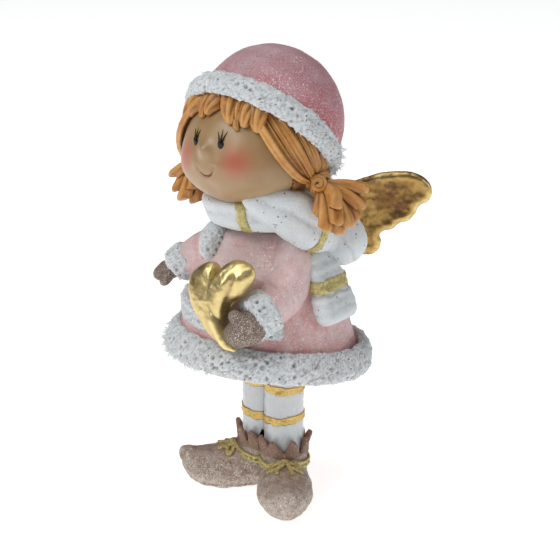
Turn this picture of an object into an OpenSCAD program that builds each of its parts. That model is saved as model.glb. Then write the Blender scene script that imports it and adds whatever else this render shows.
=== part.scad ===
// Painted cast-resin figurine: a winter angel girl in a fur-trimmed coat, holding a heart.
// Millimetres, +Z up. She looks along -Y and her left hand is on the +X side.
// The origin is under the middle of the figure's bounding box, on the plane of the soles.

/* [Coat] */
// Radius of the coat at its hem
hem_r = 26.5; // [26:0.5:27.5]
// Radius of the coat just under the scarf
shoulder_r = 14; // [13.5:0.5:15]
// Height of the hem's middle above the soles
hem_z = 41.5; // [40.5:0.5:42.5]
// How far the hem rises at the front, in degrees
hem_tilt = 8.5; // [6:0.5:9]
// Height of the fur band round the hem
hem_band = 8.5; // [7.5:0.5:9]

/* [Legs] */
// Radius of a stocking leg
leg_r = 5.7; // [5.4:0.1:5.9]
// Distance from the middle plane to each leg's axis
leg_x = 4.4; // [4.2:0.1:5]
// How far each foot turns outwards, in degrees
foot_turn = 42; // [40:1:48]
// Length of a shoe from the ankle to the tip of the toe
toe_reach = 24; // [23:0.5:24.5]

/* [Head] */
// Radius of the skull
skull_r = 19.2; // [18.8:0.1:19.4]
// Height of the skull's middle
skull_z = 101; // [100.5:0.5:101.5]
// Radius of the knitted hat
hat_r = 21; // [20.8:0.1:21.4]
// Tilt of the hat's brim, high in front, in degrees
brim_tilt = 42; // [40:1:43]
// How far she tips her head to her right, in degrees
head_roll = 5; // [3:1:6]

/* [Wings] */
// Length of a wing from the coat to its tip
wing_span = 36; // [33:0.5:37]
// How far the wings sweep back from straight sideways, in degrees
wing_sweep = 44; // [40:1:50]
// Thickness of a wing
wing_t = 2.6; // [2.2:0.2:3]

/* [Heart] */
// Height of the heart
heart_h = 25; // [23:0.5:26]
// Thickness of the heart
heart_t = 8; // [7:0.5:8.5]

/* [Hidden] */

$fn = 48;
soft_fn = 18;        // facets of a ball inside a hull
glue = 0.05;         // gap left for glue between two castings

rose = "#e6a9ae";
snow = "#e9edf0";
gold = "#c9a24a";
skin = "#d8ab82";
ginger = "#c57a2c";
taupe = "#8d7468";
ink = "#1c1614";
steel = "silver";

shoulder_z = 80;
// Middle of the bounding box in the figure's own axes
middle = [0, 2.39];

// ---- helpers ------------------------------------------------------------------------------

// The figure's own axes: the body's axis is at x = y = 0
module figure() translate([-middle[0], -middle[1], 0]) children();

// One ball of a limb, as [x, y, z, radius]
module ball(b) translate([b[0], b[1], b[2]]) sphere(r = b[3], $fn = soft_fn);

// Balls joined one after another into a rounded limb
module limb(balls)
    for (i = [0 : len(balls) - 2])
        hull() {
            ball(balls[i]);
            ball(balls[i + 1]);
        }

// An ellipsoid with the radii given in size
module egg(at, size) translate(at) scale(size) sphere(r = 1, $fn = 32);

// Her right side is the left side mirrored
module on_right() mirror([1, 0, 0]) children();

// Turns the Z axis from one point towards another and stands there
module aim(from, to) {
    d = to - from;
    translate(from)
        rotate([0, atan2(norm([d[0], d[1]]), d[2]), atan2(d[1], d[0])])
            children();
}

// ---- coat ---------------------------------------------------------------------------------

module at_hem() translate([0, 0, hem_z]) rotate([-hem_tilt, 0, 0]) children();

hem_plug_r = 25;
bell_low = 36;       // the bell starts here and is cut off along the tilted hem
bell_high = 77;
bell_steps = 14;

// Radius of the coat at a height: a bell that turns in faster towards the shoulders
function coat_r(z) = hem_r + 0.8 - (hem_r + 0.8 - shoulder_r) * pow((z - bell_low) / (bell_high - bell_low), 1.5);

// The bell down to the top of the hem's fur, and the plug that the fur ring fits round
module coat_shape(grow = 0) {
    difference() {
        rotate_extrude($fn = 64) polygon(concat(
            [[0, bell_low]],
            [for (i = [0 : bell_steps]) let (z = bell_low + (bell_high - bell_low) * i / bell_steps) [coat_r(z) + grow, z]],
            [[shoulder_r - 3 + grow, shoulder_z + grow], [0, shoulder_z + 1.5 + grow]]
        ));
        at_hem() translate([-50, -50, hem_band - 51.5 - grow]) cube([100, 100, 50]);
    }
    at_hem() cylinder(r = hem_plug_r + grow, h = hem_band);
}

wing_root = [4.5, 9.5, 76];
socket_depth = 5;
wall = 5;
neck_r = 7;
neck_low = 73;
recess = 4;          // depth of the hollow under the skirt

module coat()
    color(rose) difference() {
        coat_shape();
        at_hem() translate([0, 0, -1.5]) cylinder(r1 = hem_r - wall, r2 = hem_r - wall - 2, h = recess + 1.5);
        for (side = [-1, 1]) {
            at_leg(side) cylinder(r = leg_r + glue, h = leg_top + glue);
            at_leg(side) cylinder(r = pin_r, h = pin_top);
        }
        translate([0, 0, neck_low - glue]) cylinder(r = neck_r + glue, h = 20);
        translate([0, 0, neck_pin_low]) cylinder(r = pin_r, h = 20);
        wing_peg(glue);
        on_right() wing_peg(glue);
    }

// Upright cross-section of a fur band that lies on the outside of a circle of radius r
module fur_section(r, thick, high, lean)
    translate([r + thick / 2 - 0.6, 0]) rotate(lean) scale([thick / high, 1]) circle(d = high, $fn = 32);

module hem_fur() color(snow) at_hem()
    rotate_extrude($fn = 64) difference() {
        translate([0, hem_band / 2 - 0.8]) fur_section(hem_r - 0.8, 4.4, hem_band, 14);
        square([hem_plug_r + glue, 60], center = false);
        translate([0, -20]) square([hem_plug_r + glue, 60]);
        translate([0, hem_band - 1.5]) square([hem_plug_r + 1.2, 20]);
    }

// Fur edge of the short jacket, across the front between the two hands
front_fur_z = 62;
module front_ring()
    translate([0, 0, front_fur_z]) rotate(-150) rotate_extrude(angle = 112)
        fur_section(coat_r(front_fur_z) - 0.4, 2.8, 6.4, 18);

module front_fur() color(snow) difference() {
    front_ring();
    coat_shape(glue);
}

collar_turn = -120;  // compass angle of the fur tab below the scarf
module collar_tab() color(snow) difference() {
    rotate(collar_turn) hull() {
        ball([shoulder_r + 0.9, 0, 78, 2.5]);
        ball([shoulder_r + 2.2, 0, 71.5, 2.3]);
    }
    coat_shape(glue);
    scarf_ring(glue);
}

// ---- arms, mittens and heart ---------------------------------------------------------------

left_arm = [[11.5, -1, 75.5, 5.8], [16.6, -5, 68, 6.4], [15.8, -16.8, 63, 5]];
right_arm = [[-11.5, -1, 75.5, 5.8], [-18.5, -5, 69.5, 5.8], [-24.2, -9.4, 65.4, 4.6]];
left_palm = [13.6, -24, 59.6, 4.8];
right_palm = [-27.4, -12, 61, 3.8];

module sleeve(arm) color(rose) difference() {
    limb(arm);
    coat_shape(glue);
    scarf_ring(glue);
}

function spot(b) = [b[0], b[1], b[2]];

module cuff(arm, palm, r) color(snow) difference() {
    aim(spot(arm[2]), spot(palm)) translate([0, 0, 1]) rotate_extrude() hull() {
        translate([r - 1, -2.2]) circle(r = 2, $fn = 24);
        translate([r - 1, 2.2]) circle(r = 2, $fn = 24);
        translate([0, -2.2]) square([0.1, 4.4]);
    }
    limb(arm);
    coat_shape(glue);
}

// A mitten with its thumb; the wrist end is buried in the cuff
module hand(palm, tips, thumb) {
    limb(concat([palm], tips));
    limb([palm, thumb[0], thumb[1]]);
}

left_tips = [[10.4, -26.6, 57.6, 4]];
left_thumb = [[12.8, -27.4, 62.4, 2.4], [11, -28.8, 64.6, 1.9]];
right_tips = [[-29.4, -13.6, 59.4, 3]];
right_thumb = [[-26.8, -14, 59.4, 2], [-26.2, -15.2, 58.2, 1.8]];

module left_mitten() color(taupe) difference() {
    hand(left_palm, left_tips, left_thumb);
    cuff_space(left_arm, left_palm, 6.4);
    heart_shape(glue);
}

module right_mitten() color(taupe) difference() {
    hand(right_palm, right_tips, right_thumb);
    cuff_space(right_arm, right_palm, 5.8);
}

module cuff_space(arm, palm, r)
    aim(spot(arm[2]), spot(palm)) translate([0, 0, -4]) cylinder(r = r + 2, h = 6.5);

heart_at = [7.4, -24.8, 65];
heart_turn = 14;     // turn of its face towards her left
heart_lean = 14;     // lean back against the coat
heart_roll = 9;      // slant of its point towards her left

module heart_shape(grow = 0) {
    lobe_r = heart_h * 0.235;
    translate(heart_at) rotate([0, 0, heart_turn]) rotate([-heart_lean, -heart_roll, 0])
        for (side = [-1, 1])
            hull() {
                translate([side * lobe_r * 0.78, 0, heart_h / 2 - lobe_r])
                    scale([1, heart_t / 2 / lobe_r, 1]) sphere(r = lobe_r + grow, $fn = 24);
                translate([0, 0, -heart_h * 0.05])
                    scale([1, heart_t / 2 / lobe_r, 1]) sphere(r = lobe_r * 0.9 + grow, $fn = 24);
                translate([0, 0, -heart_h / 2 + 1]) sphere(r = 1 + grow, $fn = 12);
            }
}

module heart() color(gold) difference() {
    heart_shape();
    coat_shape(glue);
    front_ring();
}

// ---- scarf ---------------------------------------------------------------------------------

scarf_r = 17.3;
scarf_low = 81.6;
scarf_high = 91.8;
scarf_y = -1.2;

module scarf_ring(grow = 0)
    translate([0, scarf_y, 0]) rotate_extrude() intersection() {
        translate([scarf_r - 6, (scarf_low + scarf_high) / 2])
            scale([1, (scarf_high - scarf_low) / 12]) circle(r = 6 + grow, $fn = 40);
        translate([neck_r + glue, 0]) square([40, 200]);
    }

module scarf_neck() color(snow) difference() {
    scarf_ring();
    head_shape(glue);
    coat_shape(glue);
}

shoulder_path = [
    [9.2, -12, 88.6, 3.4], [13.2, -8.2, 86, 4], [15.4, -2.8, 82, 4.4], [15.6, 2, 79.4, 4.4], [14, 9, 78.6, 4.6]
];
fold_ball = [16.6, 12.4, 76.4];
fold_size = [6.8, 6.8, 7.2];

module scarf_shoulder() color(snow) difference() {
    limb(shoulder_path);
    scarf_ring(glue);
    coat_shape(glue);
    limb(left_arm);
    egg(fold_ball, fold_size);
}

module scarf_fold() color(snow) difference() {
    egg(fold_ball, fold_size);
    coat_shape(glue);
    limb(left_arm);
    wing_blade(glue);
    wing_peg(glue);
}

tail_turn = 8;       // compass angle of the hanging end, behind her left elbow
tail_top = 72;
tail_low = 56;

module tail_shape(grow = 0)
    rotate(tail_turn) hull()
        for (y = [-1, 1]) {
            ball([coat_r(tail_top) + 0.4, y * 3.6, tail_top, 2.8 + grow]);
            ball([coat_r(tail_low + 3) + 1, y * 4.6, tail_low + 3, 2.8 + grow]);
        }

module scarf_tail() color(snow) difference() {
    tail_shape();
    coat_shape(glue);
    egg(fold_ball, fold_size);
    limb(left_arm);
}

stripe_w = 2.8;
stripe_up = 0.45;    // how far a gold stripe stands out of the scarf

module scarf_stripes() color(gold) {
    difference() {
        intersection() {
            scarf_ring(stripe_up);
            rotate(-68) translate([0, -stripe_w / 2, scarf_low - 1]) cube([40, stripe_w, 20]);
        }
        scarf_ring(glue);
        coat_shape(glue);
        head_shape(glue);
    }
    difference() {
        translate([15.6, 0.6, 80]) rotate([-62, 0, -8]) cylinder(r = 4.9, h = stripe_w, center = true);
        limb(shoulder_path);
        scarf_ring(glue);
        coat_shape(glue);
        limb(left_arm);
        egg(fold_ball, fold_size);
    }
    difference() {
        tail_shape(stripe_up);
        tail_shape(glue);
        coat_shape(glue);
        limb(left_arm);
        translate([0, 0, (tail_top + tail_low) / 2 + 0.5 + stripe_w]) cylinder(r = 60, h = 60);
        translate([0, 0, (tail_top + tail_low) / 2 + 0.5 - 60]) cylinder(r = 60, h = 60);
    }
}

// ---- head and hair --------------------------------------------------------------------------

head_y = -5;
jaw_h = 12.8;        // the jaw is this much flatter than the skull
crown_h = 19.4;

head_turn = 3;       // turn of the face towards her left
// Tips and turns the head; everything on it is placed upright and straight inside this
module tipped()
    translate([0, head_y, skull_z]) rotate([0, -head_roll, head_turn]) translate([0, -head_y, -skull_z]) children();

// Outline of the head from the chin to the crown: two half ovals on one circle
module head_shape(grow = 0) tipped()
    translate([0, head_y, skull_z]) rotate_extrude($fn = 64) polygon(
        [for (a = [-90 : 6 : 90]) [(skull_r + grow) * cos(a), ((a > 0 ? crown_h : jaw_h) + grow) * sin(a)]]
    );

module head() color(skin) difference() {
    union() {
        head_shape();
        translate([0, 0, neck_low]) cylinder(r = neck_r, h = 20);
    }
    translate([0, 0, neck_pin_low]) cylinder(r = pin_r, h = neck_pin_h);
}

nose_at = [0, head_y - skull_r, 105];
nose_size = [1.6, 1.5, 1.7];
module nose() color(skin) difference() {
    tipped() egg(nose_at, nose_size);
    head_shape();
}

// A point on the face, at a turn from the middle plane and a height, just proud of the skin
function face_r(z) = skull_r * sqrt(1 - pow((z - skull_z) / (z > skull_z ? crown_h : jaw_h), 2));
function on_face(turn, z, out) =
    let (r = face_r(z) + out) [r * sin(turn), head_y - r * cos(turn), z];

eye_turn = 14.5;
eye_z = 107.6;
module eye_bead(side)
    translate(on_face(side * eye_turn, eye_z, -0.25))
        rotate([12, 0, side * eye_turn]) scale([1, 0.6, 1.7]) sphere(r = 1, $fn = 24);

module left_eye() color(ink) difference() {
    tipped() eye_bead(1);
    head_shape();
}
module right_eye() color(ink) difference() {
    tipped() eye_bead(-1);
    head_shape();
}

// Three lashes painted above each eye
module lashes() color(ink) tipped() difference() {
    for (side = [-1, 1], lash = [-1, 0, 1])
        hull() {
            translate(on_face(side * eye_turn + lash * 1.6, eye_z + 1.5, 0)) sphere(r = 0.2, $fn = 8);
            translate(on_face(side * eye_turn + lash * 5.4, eye_z + 3.8 - abs(lash) * 0.6, 0)) sphere(r = 0.14, $fn = 8);
        }
    for (side = [-1, 1]) eye_bead(side);
}

smile_z = 100.6;
module smile_line()
    translate([0, head_y - skull_r, smile_z]) rotate([90, 0, 0]) rotate(200)
        rotate_extrude(angle = 140, $fn = 48) translate([2.3, 0]) circle(r = 0.28, $fn = 16);
module smile() color("#8a3f35") tipped() smile_line();

hair_t = 1.3;        // thickness of the hair on the head
face_turn = 50;      // the hair starts this far from the middle of the face

module hair_shell(grow = 0) difference() {
    head_shape(hair_t + grow);
    head_shape(glue);
}

// Space in front of the hair: the face
module face_space()
    tipped() translate([0, head_y, 0]) linear_extrude(200)
        polygon([[0, 4], [-60 * sin(face_turn), -60 * cos(face_turn)], [60 * sin(face_turn), -60 * cos(face_turn)]]);

// Frame of the hat: the brim's plane, with Z along the axis of the hat
hat_at = [0.6, -1.6, 109.2];
brim_drop = 2.2;     // the brim sits this far below the widest part of the hat
module at_hat() tipped() translate(hat_at) rotate([-brim_tilt, 0, 0]) translate([0, 0, -brim_drop]) children();

module above_brim(z = 0) at_hat() translate([-50, -50, z]) cube([100, 100, 100]);

module hair_cap() color(ginger) difference() {
    hair_shell();
    face_space();
    above_brim(-brim_w / 2);
    translate([-50, -50, hair_low - 100]) cube([100, 100, 100]);
}

hair_low = 92.5;
fringe_low = 112.5;
module fringe() color(ginger) difference() {
    intersection() {
        head_shape(hair_t + 0.9);
        face_space();
        tipped() translate([-30, -40, fringe_low]) cube([60, 40, 30]);
    }
    head_shape(glue);
    above_brim(1);
}

tie = [19.2, -2, 94.6];

// Hair combed from the hat's edge to the tie, over the hair cap
side_locks = [[16.4, -15, 108.4], [19.2, -9.5, 104], [20.4, -2.5, 99.6], [19.6, 2.4, 96.8]];
module side_hair() difference() {
    tipped() for (start = side_locks)
        hull() {
            ball([start[0], start[1], start[2], 1.8]);
            ball([tie[0], tie[1], tie[2] + 1, 2.4]);
        }
    head_shape(hair_t + glue);
    tipped() translate(tie) sphere(r = bobble_r);
}

bobble_r = 3.1;
module bobble() difference() {
    tipped() translate(tie) sphere(r = bobble_r);
    head_shape(hair_t + glue);
}

// Locks that fan out below the tie
lock_ends = [[28.6, -7.6, 90], [29, -4, 85.6], [25.6, 0, 83], [25.4, 5.6, 85.6], [26.4, 7, 91]];
module pigtail() difference() {
    tipped() for (end = lock_ends)
        hull() {
            ball([tie[0] + 2.6, tie[1] + 0.4, tie[2] - 1.8, 2.2]);
            ball([end[0], end[1], end[2], 2.3]);
        }
    tipped() translate(tie) sphere(r = bobble_r + glue);
    head_shape(hair_t + glue);
}

module left_side_hair() color(ginger) side_hair();
module right_side_hair() color(ginger) on_right() side_hair();
module left_bobble() color(ginger) bobble();
module right_bobble() color(ginger) on_right() bobble();
module left_pigtail() color(ginger) pigtail();
module right_pigtail() color(ginger) on_right() pigtail();

// ---- hat -----------------------------------------------------------------------------------

brim_r = 22.6;       // outside radius of the fur brim
brim_t = 4.2;
brim_w = 8;

module hat_crown() color(rose) difference() {
    tipped() translate(hat_at) sphere(r = hat_r, $fn = 64);
    head_shape(glue);
    at_hat() translate([-50, -50, 1 - 100]) cube([100, 100, 100]);
}

module hat_brim() color(snow) at_hat()
    rotate_extrude($fn = 64) difference() {
        fur_section(brim_r + 0.6 - brim_t, brim_t, brim_w, 8);
        translate([0, brim_drop]) circle(r = hat_r + glue, $fn = 128);
    }

// ---- wings ---------------------------------------------------------------------------------

peg_r = 1.8;

// Frame of the left wing: X runs from the coat out to the tip, Z up, Y is its thickness
module at_wing() translate(wing_root) rotate(wing_sweep) children();

module wing_peg(grow = 0)
    at_wing() translate([-socket_depth, 0, 0]) rotate([0, 90, 0])
        cylinder(r = peg_r + grow, h = socket_depth + 10 + grow);

module wing_disc(x, z, r) translate([x, 0, z]) rotate([90, 0, 0]) cylinder(r = r, h = wing_t, center = true);

module wing_blade(grow = 0) at_wing() {
    hull() {
        wing_disc(wing_span - 5.8, 11, 5.8 + grow);
        wing_disc(14, 6, 8.4 + grow);
        wing_disc(22, 4, 5 + grow);
    }
    hull() {
        wing_disc(7, -1, 6.4 + grow);
        wing_disc(16.4, -3.6, 4.6 + grow);
        wing_disc(15, 3, 6 + grow);
    }
}

module wing() difference() {
    union() {
        wing_blade();
        wing_peg();
    }
    difference() {
        coat_shape(glue);
        wing_peg(glue);
    }
}

module left_wing() color(gold) wing();
module right_wing() color(gold) on_right() wing();

// ---- legs ----------------------------------------------------------------------------------

leg_low = 9;
leg_top = 56;
pin_r = 1.25;
pin_low = 4;
pin_top = 66;
neck_pin_low = 66;
neck_pin_h = 26;

legs_at = [1, 1];    // the legs stand a little behind and beside the body's axis
module at_leg(side) translate([legs_at[0] + side * leg_x, legs_at[1], 0]) children();

// The half of space on one side of the line where the legs and the heels meet
module own_side(side)
    translate([legs_at[0] + side * glue, -50, -1]) mirror([side < 0 ? 1 : 0, 0, 0]) cube([100, 100, 200]);

module leg(side) difference() {
    intersection() {
        at_leg(side) translate([0, 0, leg_low]) cylinder(r = leg_r, h = leg_top - leg_low);
        own_side(side);
    }
    at_leg(side) cylinder(r = pin_r, h = 100);
}
module left_leg() color(snow) leg(1);
module right_leg() color(snow) leg(-1);

stripe_zs = [23.5, 34];
module leg_stripes(side) intersection() {
    at_leg(side) for (z = stripe_zs)
        translate([0, 0, z]) difference() {
            rotate([3, side * 4, 0]) cylinder(r = leg_r + 0.45, h = 2.6, center = true);
            cylinder(r = leg_r + 0.01, h = 10, center = true);
        }
    own_side(side);
}
module left_stripes() color(gold) leg_stripes(1);
module right_stripes() color(gold) leg_stripes(-1);

// ---- shoes ---------------------------------------------------------------------------------

ankle_z = 13;

// Frame of a shoe: the ankle's axis on the ground, with X towards the toe
module at_foot(side) at_leg(side) rotate(-90 + side * foot_turn) children();

// Outside of a shoe: heel, ankle, toe box and the curled tip
module shoe_body() {
    hull() {
        egg([11.4, 0, 5.2], [8.8, 8.2, 6.6]);
        egg([0, 0, 5.6], [7.2, 7, 6]);
    }
    hull() {
        egg([0, 0, 7], [7.2, 7, 4]);
        translate([0, 0, ankle_z - 1]) cylinder(r = leg_r + 1, h = 1, $fn = 32);
    }
    hull() {
        egg([toe_reach - 8.6, 0, 5], [6.2, 6.2, 5]);
        translate([toe_reach - 2.7, 0, 9]) sphere(r = 2.7, $fn = soft_fn);
    }
}

module shoe(side) difference() {
    intersection() {
        at_foot(side) shoe_body();
        own_side(side);
        translate([-50, -50, 0]) cube([100, 100, 40]);
    }
    at_leg(side) translate([0, 0, leg_low - glue]) cylinder(r = leg_r + glue, h = 20);
    at_leg(side) translate([0, 0, pin_low]) cylinder(r = pin_r, h = 20);
}
module left_shoe() color(taupe) shoe(1);
module right_shoe() color(taupe) shoe(-1);

// Pointed cuff: leaves that stand round the stocking and lean outwards
leaves = 7;
module shoe_collar(side) difference() {
    intersection() {
        at_foot(side) for (i = [0 : leaves - 1])
            rotate((i + 0.5) * 360 / leaves) hull() {
                translate([leg_r + 0.4, 0, ankle_z + 0.4]) cube([1.2, 5.4, 0.8], center = true);
                translate([leg_r + 0.6, 0, ankle_z + 3]) cube([1.1, 4, 0.8], center = true);
                translate([leg_r + 1.3, 0, ankle_z + 6]) cube([0.7, 0.8, 0.6], center = true);
            }
        own_side(side);
    }
    at_leg(side) cylinder(r = leg_r + glue, h = 60);
}
module left_shoe_collar() color(taupe) shoe_collar(1);
module right_shoe_collar() color(taupe) shoe_collar(-1);

lace_r = 0.7;
bow_x = leg_r + 4.6; // the bow lies on the instep
bow_z = ankle_z - 0.1;
module lace(side) intersection() {
    at_foot(side) {
        translate([0, 0, ankle_z + lace_r + 0.05]) rotate_extrude() translate([leg_r + 1.1 + lace_r, 0]) circle(r = lace_r, $fn = 20);
        for (turn = [-1, 1])
            translate([bow_x, turn * 2.2, bow_z]) rotate_extrude() translate([1.6, 0]) circle(r = lace_r, $fn = 16);
        translate([bow_x - 2.6, 0, bow_z + 0.4]) sphere(r = 1.3, $fn = 24);
    }
    own_side(side);
}
module left_lace() color(gold) lace(1);
module right_lace() color(gold) lace(-1);

// ---- steel pins cast into the resin ----------------------------------------------------------

module leg_pin(side) at_leg(side) translate([0, 0, pin_low]) cylinder(r = pin_r - 0.02, h = pin_top - pin_low);
module left_leg_pin() color(steel) leg_pin(1);
module right_leg_pin() color(steel) leg_pin(-1);
module neck_pin() color(steel) translate([0, 0, neck_pin_low]) cylinder(r = pin_r - 0.02, h = neck_pin_h);

// ---- the assembly ----------------------------------------------------------------------------

figure() {
    coat();
    hem_fur();
    front_fur();
    collar_tab();
    sleeve(left_arm);  // left_sleeve
    sleeve(right_arm);  // right_sleeve
    cuff(left_arm, left_palm, 6.4);  // left_cuff
    cuff(right_arm, right_palm, 5.8);  // right_cuff
    left_mitten();
    right_mitten();
    heart();
    scarf_neck();
    scarf_shoulder();
    scarf_fold();
    scarf_tail();
    scarf_stripes();
    head();
    nose();
    left_eye();
    right_eye();
    lashes();
    smile();
    hair_cap();
    fringe();
    left_side_hair();
    right_side_hair();
    left_bobble();
    right_bobble();
    left_pigtail();
    right_pigtail();
    hat_crown();
    hat_brim();
    left_wing();
    right_wing();
    left_leg();
    right_leg();
    left_stripes();
    right_stripes();
    left_shoe();
    right_shoe();
    left_shoe_collar();
    right_shoe_collar();
    left_lace();
    right_lace();
    left_leg_pin();
    right_leg_pin();
    neck_pin();
}
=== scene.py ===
# %% [markdown]
# # A resin angel figurine
# This lesson makes the finish of a small cast and hand-painted angel: a girl in a pink glitter coat and
# hat, with a white scarf, orange pigtails, gilded wings and a gilded heart. Such figures are cast in
# polyresin in a rubber mould, and then painted: a base coat, a thin brown wash that stays in the pits, a
# dry brush that catches the high spots, gold leaf, and loose glitter dusted on wet varnish.
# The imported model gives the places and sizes. Each piece here stands for one part of that model.

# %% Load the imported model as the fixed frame
import math
import random
from contextlib import contextmanager

import bmesh
import bpy
import numpy as np
from mathutils import Matrix, Vector, noise
from mathutils.bvhtree import BVHTree


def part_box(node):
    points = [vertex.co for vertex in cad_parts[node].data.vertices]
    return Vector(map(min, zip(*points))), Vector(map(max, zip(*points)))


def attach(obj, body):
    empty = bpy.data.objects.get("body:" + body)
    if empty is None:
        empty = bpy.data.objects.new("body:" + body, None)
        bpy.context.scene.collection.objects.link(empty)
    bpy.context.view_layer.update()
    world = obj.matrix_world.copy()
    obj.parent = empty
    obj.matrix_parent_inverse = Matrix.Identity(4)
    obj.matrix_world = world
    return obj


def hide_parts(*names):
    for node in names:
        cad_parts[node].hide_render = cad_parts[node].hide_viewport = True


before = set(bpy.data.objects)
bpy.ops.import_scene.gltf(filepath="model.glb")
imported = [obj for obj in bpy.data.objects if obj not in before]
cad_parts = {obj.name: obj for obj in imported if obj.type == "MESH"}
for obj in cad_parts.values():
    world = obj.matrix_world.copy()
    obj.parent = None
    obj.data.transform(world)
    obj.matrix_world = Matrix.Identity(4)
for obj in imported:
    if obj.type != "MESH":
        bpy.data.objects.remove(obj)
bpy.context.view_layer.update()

random.seed(7)

# %% [markdown]
# ## Working in millimetres
# The figure is 130 mm tall, so its pieces are easiest to shape in millimetres, in the figure's own axes:
# the body stands on x = y = 0 and the floor is z = 0. When a piece is finished, its mesh is brought into
# the shared frame in metres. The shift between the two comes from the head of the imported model.

# %% The figure's own axes, the head and the hat
head_low, head_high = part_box("head")
SHIFT = Vector((0, (head_low.y + head_high.y) / 2 + 0.005, 0))
TO_FRAME = Matrix.Translation(SHIFT) @ Matrix.Scale(0.001, 4)
TO_BENCH = TO_FRAME.inverted()


def middle(node):
    """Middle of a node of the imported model, in the figure's axes and in millimetres."""
    low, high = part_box(node)
    return TO_BENCH @ ((low + high) / 2)


def turn(axis, degrees):
    return Matrix.Rotation(math.radians(degrees), 4, axis)


SKULL_R, JAW_H, CROWN_H = 19.2, 12.8, 19.4
HEAD = Vector((0, -5, head_high.z * 1000 - CROWN_H))
TIP = Matrix.Translation(HEAD) @ turn("Z", 3) @ turn("Y", -5) @ Matrix.Translation(-HEAD)
hat_low, hat_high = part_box("hat_crown")
HAT_R = (hat_high.x - hat_low.x) * 500
HAT = TO_BENCH @ Vector(((hat_low.x + hat_high.x) / 2, hat_high.y - HAT_R / 1000, hat_high.z - HAT_R / 1000))
HAT_FRAME = Matrix.Translation(HAT) @ turn("Z", 3) @ turn("Y", -5) @ turn("X", -42)
HAT_FRAME = HAT_FRAME @ Matrix.Translation((0, 0, -2.2))
PULLED = Matrix.Rotation(math.radians(-3.4), 4, Vector((0.66, -0.66, 0.34)))
SEATED = Matrix.Translation(HAT + Vector((0.8, 0.8, 0))) @ PULLED @ Matrix.Translation(-HAT)
HAT, HAT_FRAME = SEATED @ HAT, SEATED @ HAT_FRAME
HEM_LEAN = 8.5
HEM = Matrix.Translation((0, 0, 41.5)) @ turn("X", -HEM_LEAN)
SIDES = ((1, "left"), (-1, "right"))
print("head", HEAD, "hat", [round(v, 2) for v in HAT], round(HAT_R, 2))

# %% [markdown]
# ## The tools of the bench
# A cast figure has no hard edges where one form meets the next. So most pieces start as a heap of
# overlapping balls and eggs, like lumps of modelling clay. The voxel Remesh modifier melts the heap into one
# closed skin with even faces, a Smooth modifier rubs out the steps, and small moves along the normals
# then carve the creases, lumps and pits.

# %% Tools: pieces, lumps and smooth lines
def link(name, bm):
    mesh = bpy.data.meshes.new(name)
    bm.to_mesh(mesh)
    bm.free()
    piece = bpy.data.objects.new(name, mesh)
    bpy.context.scene.collection.objects.link(piece)
    mesh.shade_smooth()
    return piece


@contextmanager
def opened(piece):
    """Opens a piece's mesh for bmesh operators and puts the result back."""
    bm = bmesh.new()
    bm.from_mesh(piece.data)
    yield bm
    bm.to_mesh(piece.data)
    bm.free()


def weld(bm, gap=1e-4):
    """Joins points that lie together and turns every face outward."""
    bmesh.ops.remove_doubles(bm, verts=bm.verts, dist=gap)
    bmesh.ops.recalc_face_normals(bm, faces=bm.faces)


def mirror(bm):
    """Turns a left piece into a right one."""
    bmesh.ops.scale(bm, vec=(-1, 1, 1), verts=bm.verts)
    bmesh.ops.recalc_face_normals(bm, faces=bm.faces)


def refine(bm):
    bmesh.ops.subdivide_edges(bm, edges=bm.edges[:], cuts=1, use_grid_fill=True)


def cut(bm, level, height, **cleared):
    """Cuts a piece along a level plane of a frame and clears one side of it."""
    bmesh.ops.bisect_plane(bm, geom=bm.verts[:] + bm.edges[:] + bm.faces[:],
                           plane_co=level @ Vector((0, 0, height)),
                           plane_no=level.to_3x3() @ Vector((0, 0, 1)), **cleared)


def bake(piece):
    """Applies the piece's modifiers to its mesh."""
    graph = bpy.context.evaluated_depsgraph_get()
    mesh = bpy.data.meshes.new_from_object(piece.evaluated_get(graph))
    piece.modifiers.clear()
    piece.data = mesh
    mesh.shade_smooth()
    return piece


def lump(bm, at, size, turned=Matrix.Identity(4), fine=3):
    """Adds an egg with the radii given in size."""
    size = (size, size, size) if isinstance(size, (int, float)) else size
    shape = Matrix.Translation(Vector(at)) @ turned @ Matrix.Diagonal((*size, 1))
    return bmesh.ops.create_icosphere(bm, subdivisions=fine, radius=1, matrix=shape)["verts"]


def flow(points, steps=8):
    """A smooth line through points; each may carry a radius as its fourth number."""
    points = [Vector(p) for p in points]
    line = []
    for i in range(len(points) - 1):
        a, b, c, d = points[max(i - 1, 0)], points[i], points[i + 1], points[min(i + 2, len(points) - 1)]
        for k in range(steps):
            t = k / steps
            line.append(0.5 * (2 * b + (c - a) * t + (2 * a - 5 * b + 4 * c - d) * t * t
                               + (3 * b - a - 3 * c + d) * t ** 3))
    return line + [points[-1]]


def swell(bm, points, steps=8, place=Matrix.Identity(4)):
    """Rolls a sausage of balls along a smooth line."""
    for p in flow(points, steps):
        lump(bm, place @ Vector(p[:3]), p[3])


def cast(name, bm, voxel=0.4, rubs=5):
    """Melts a heap of lumps into one closed skin."""
    piece = link(name, bm)
    melt = piece.modifiers.new("melt", "REMESH")
    melt.mode, melt.voxel_size, melt.use_smooth_shade = "VOXEL", voxel, True
    if rubs:
        rub = piece.modifiers.new("rub", "SMOOTH")
        rub.factor, rub.iterations = 0.6, rubs
    return bake(piece)


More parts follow.
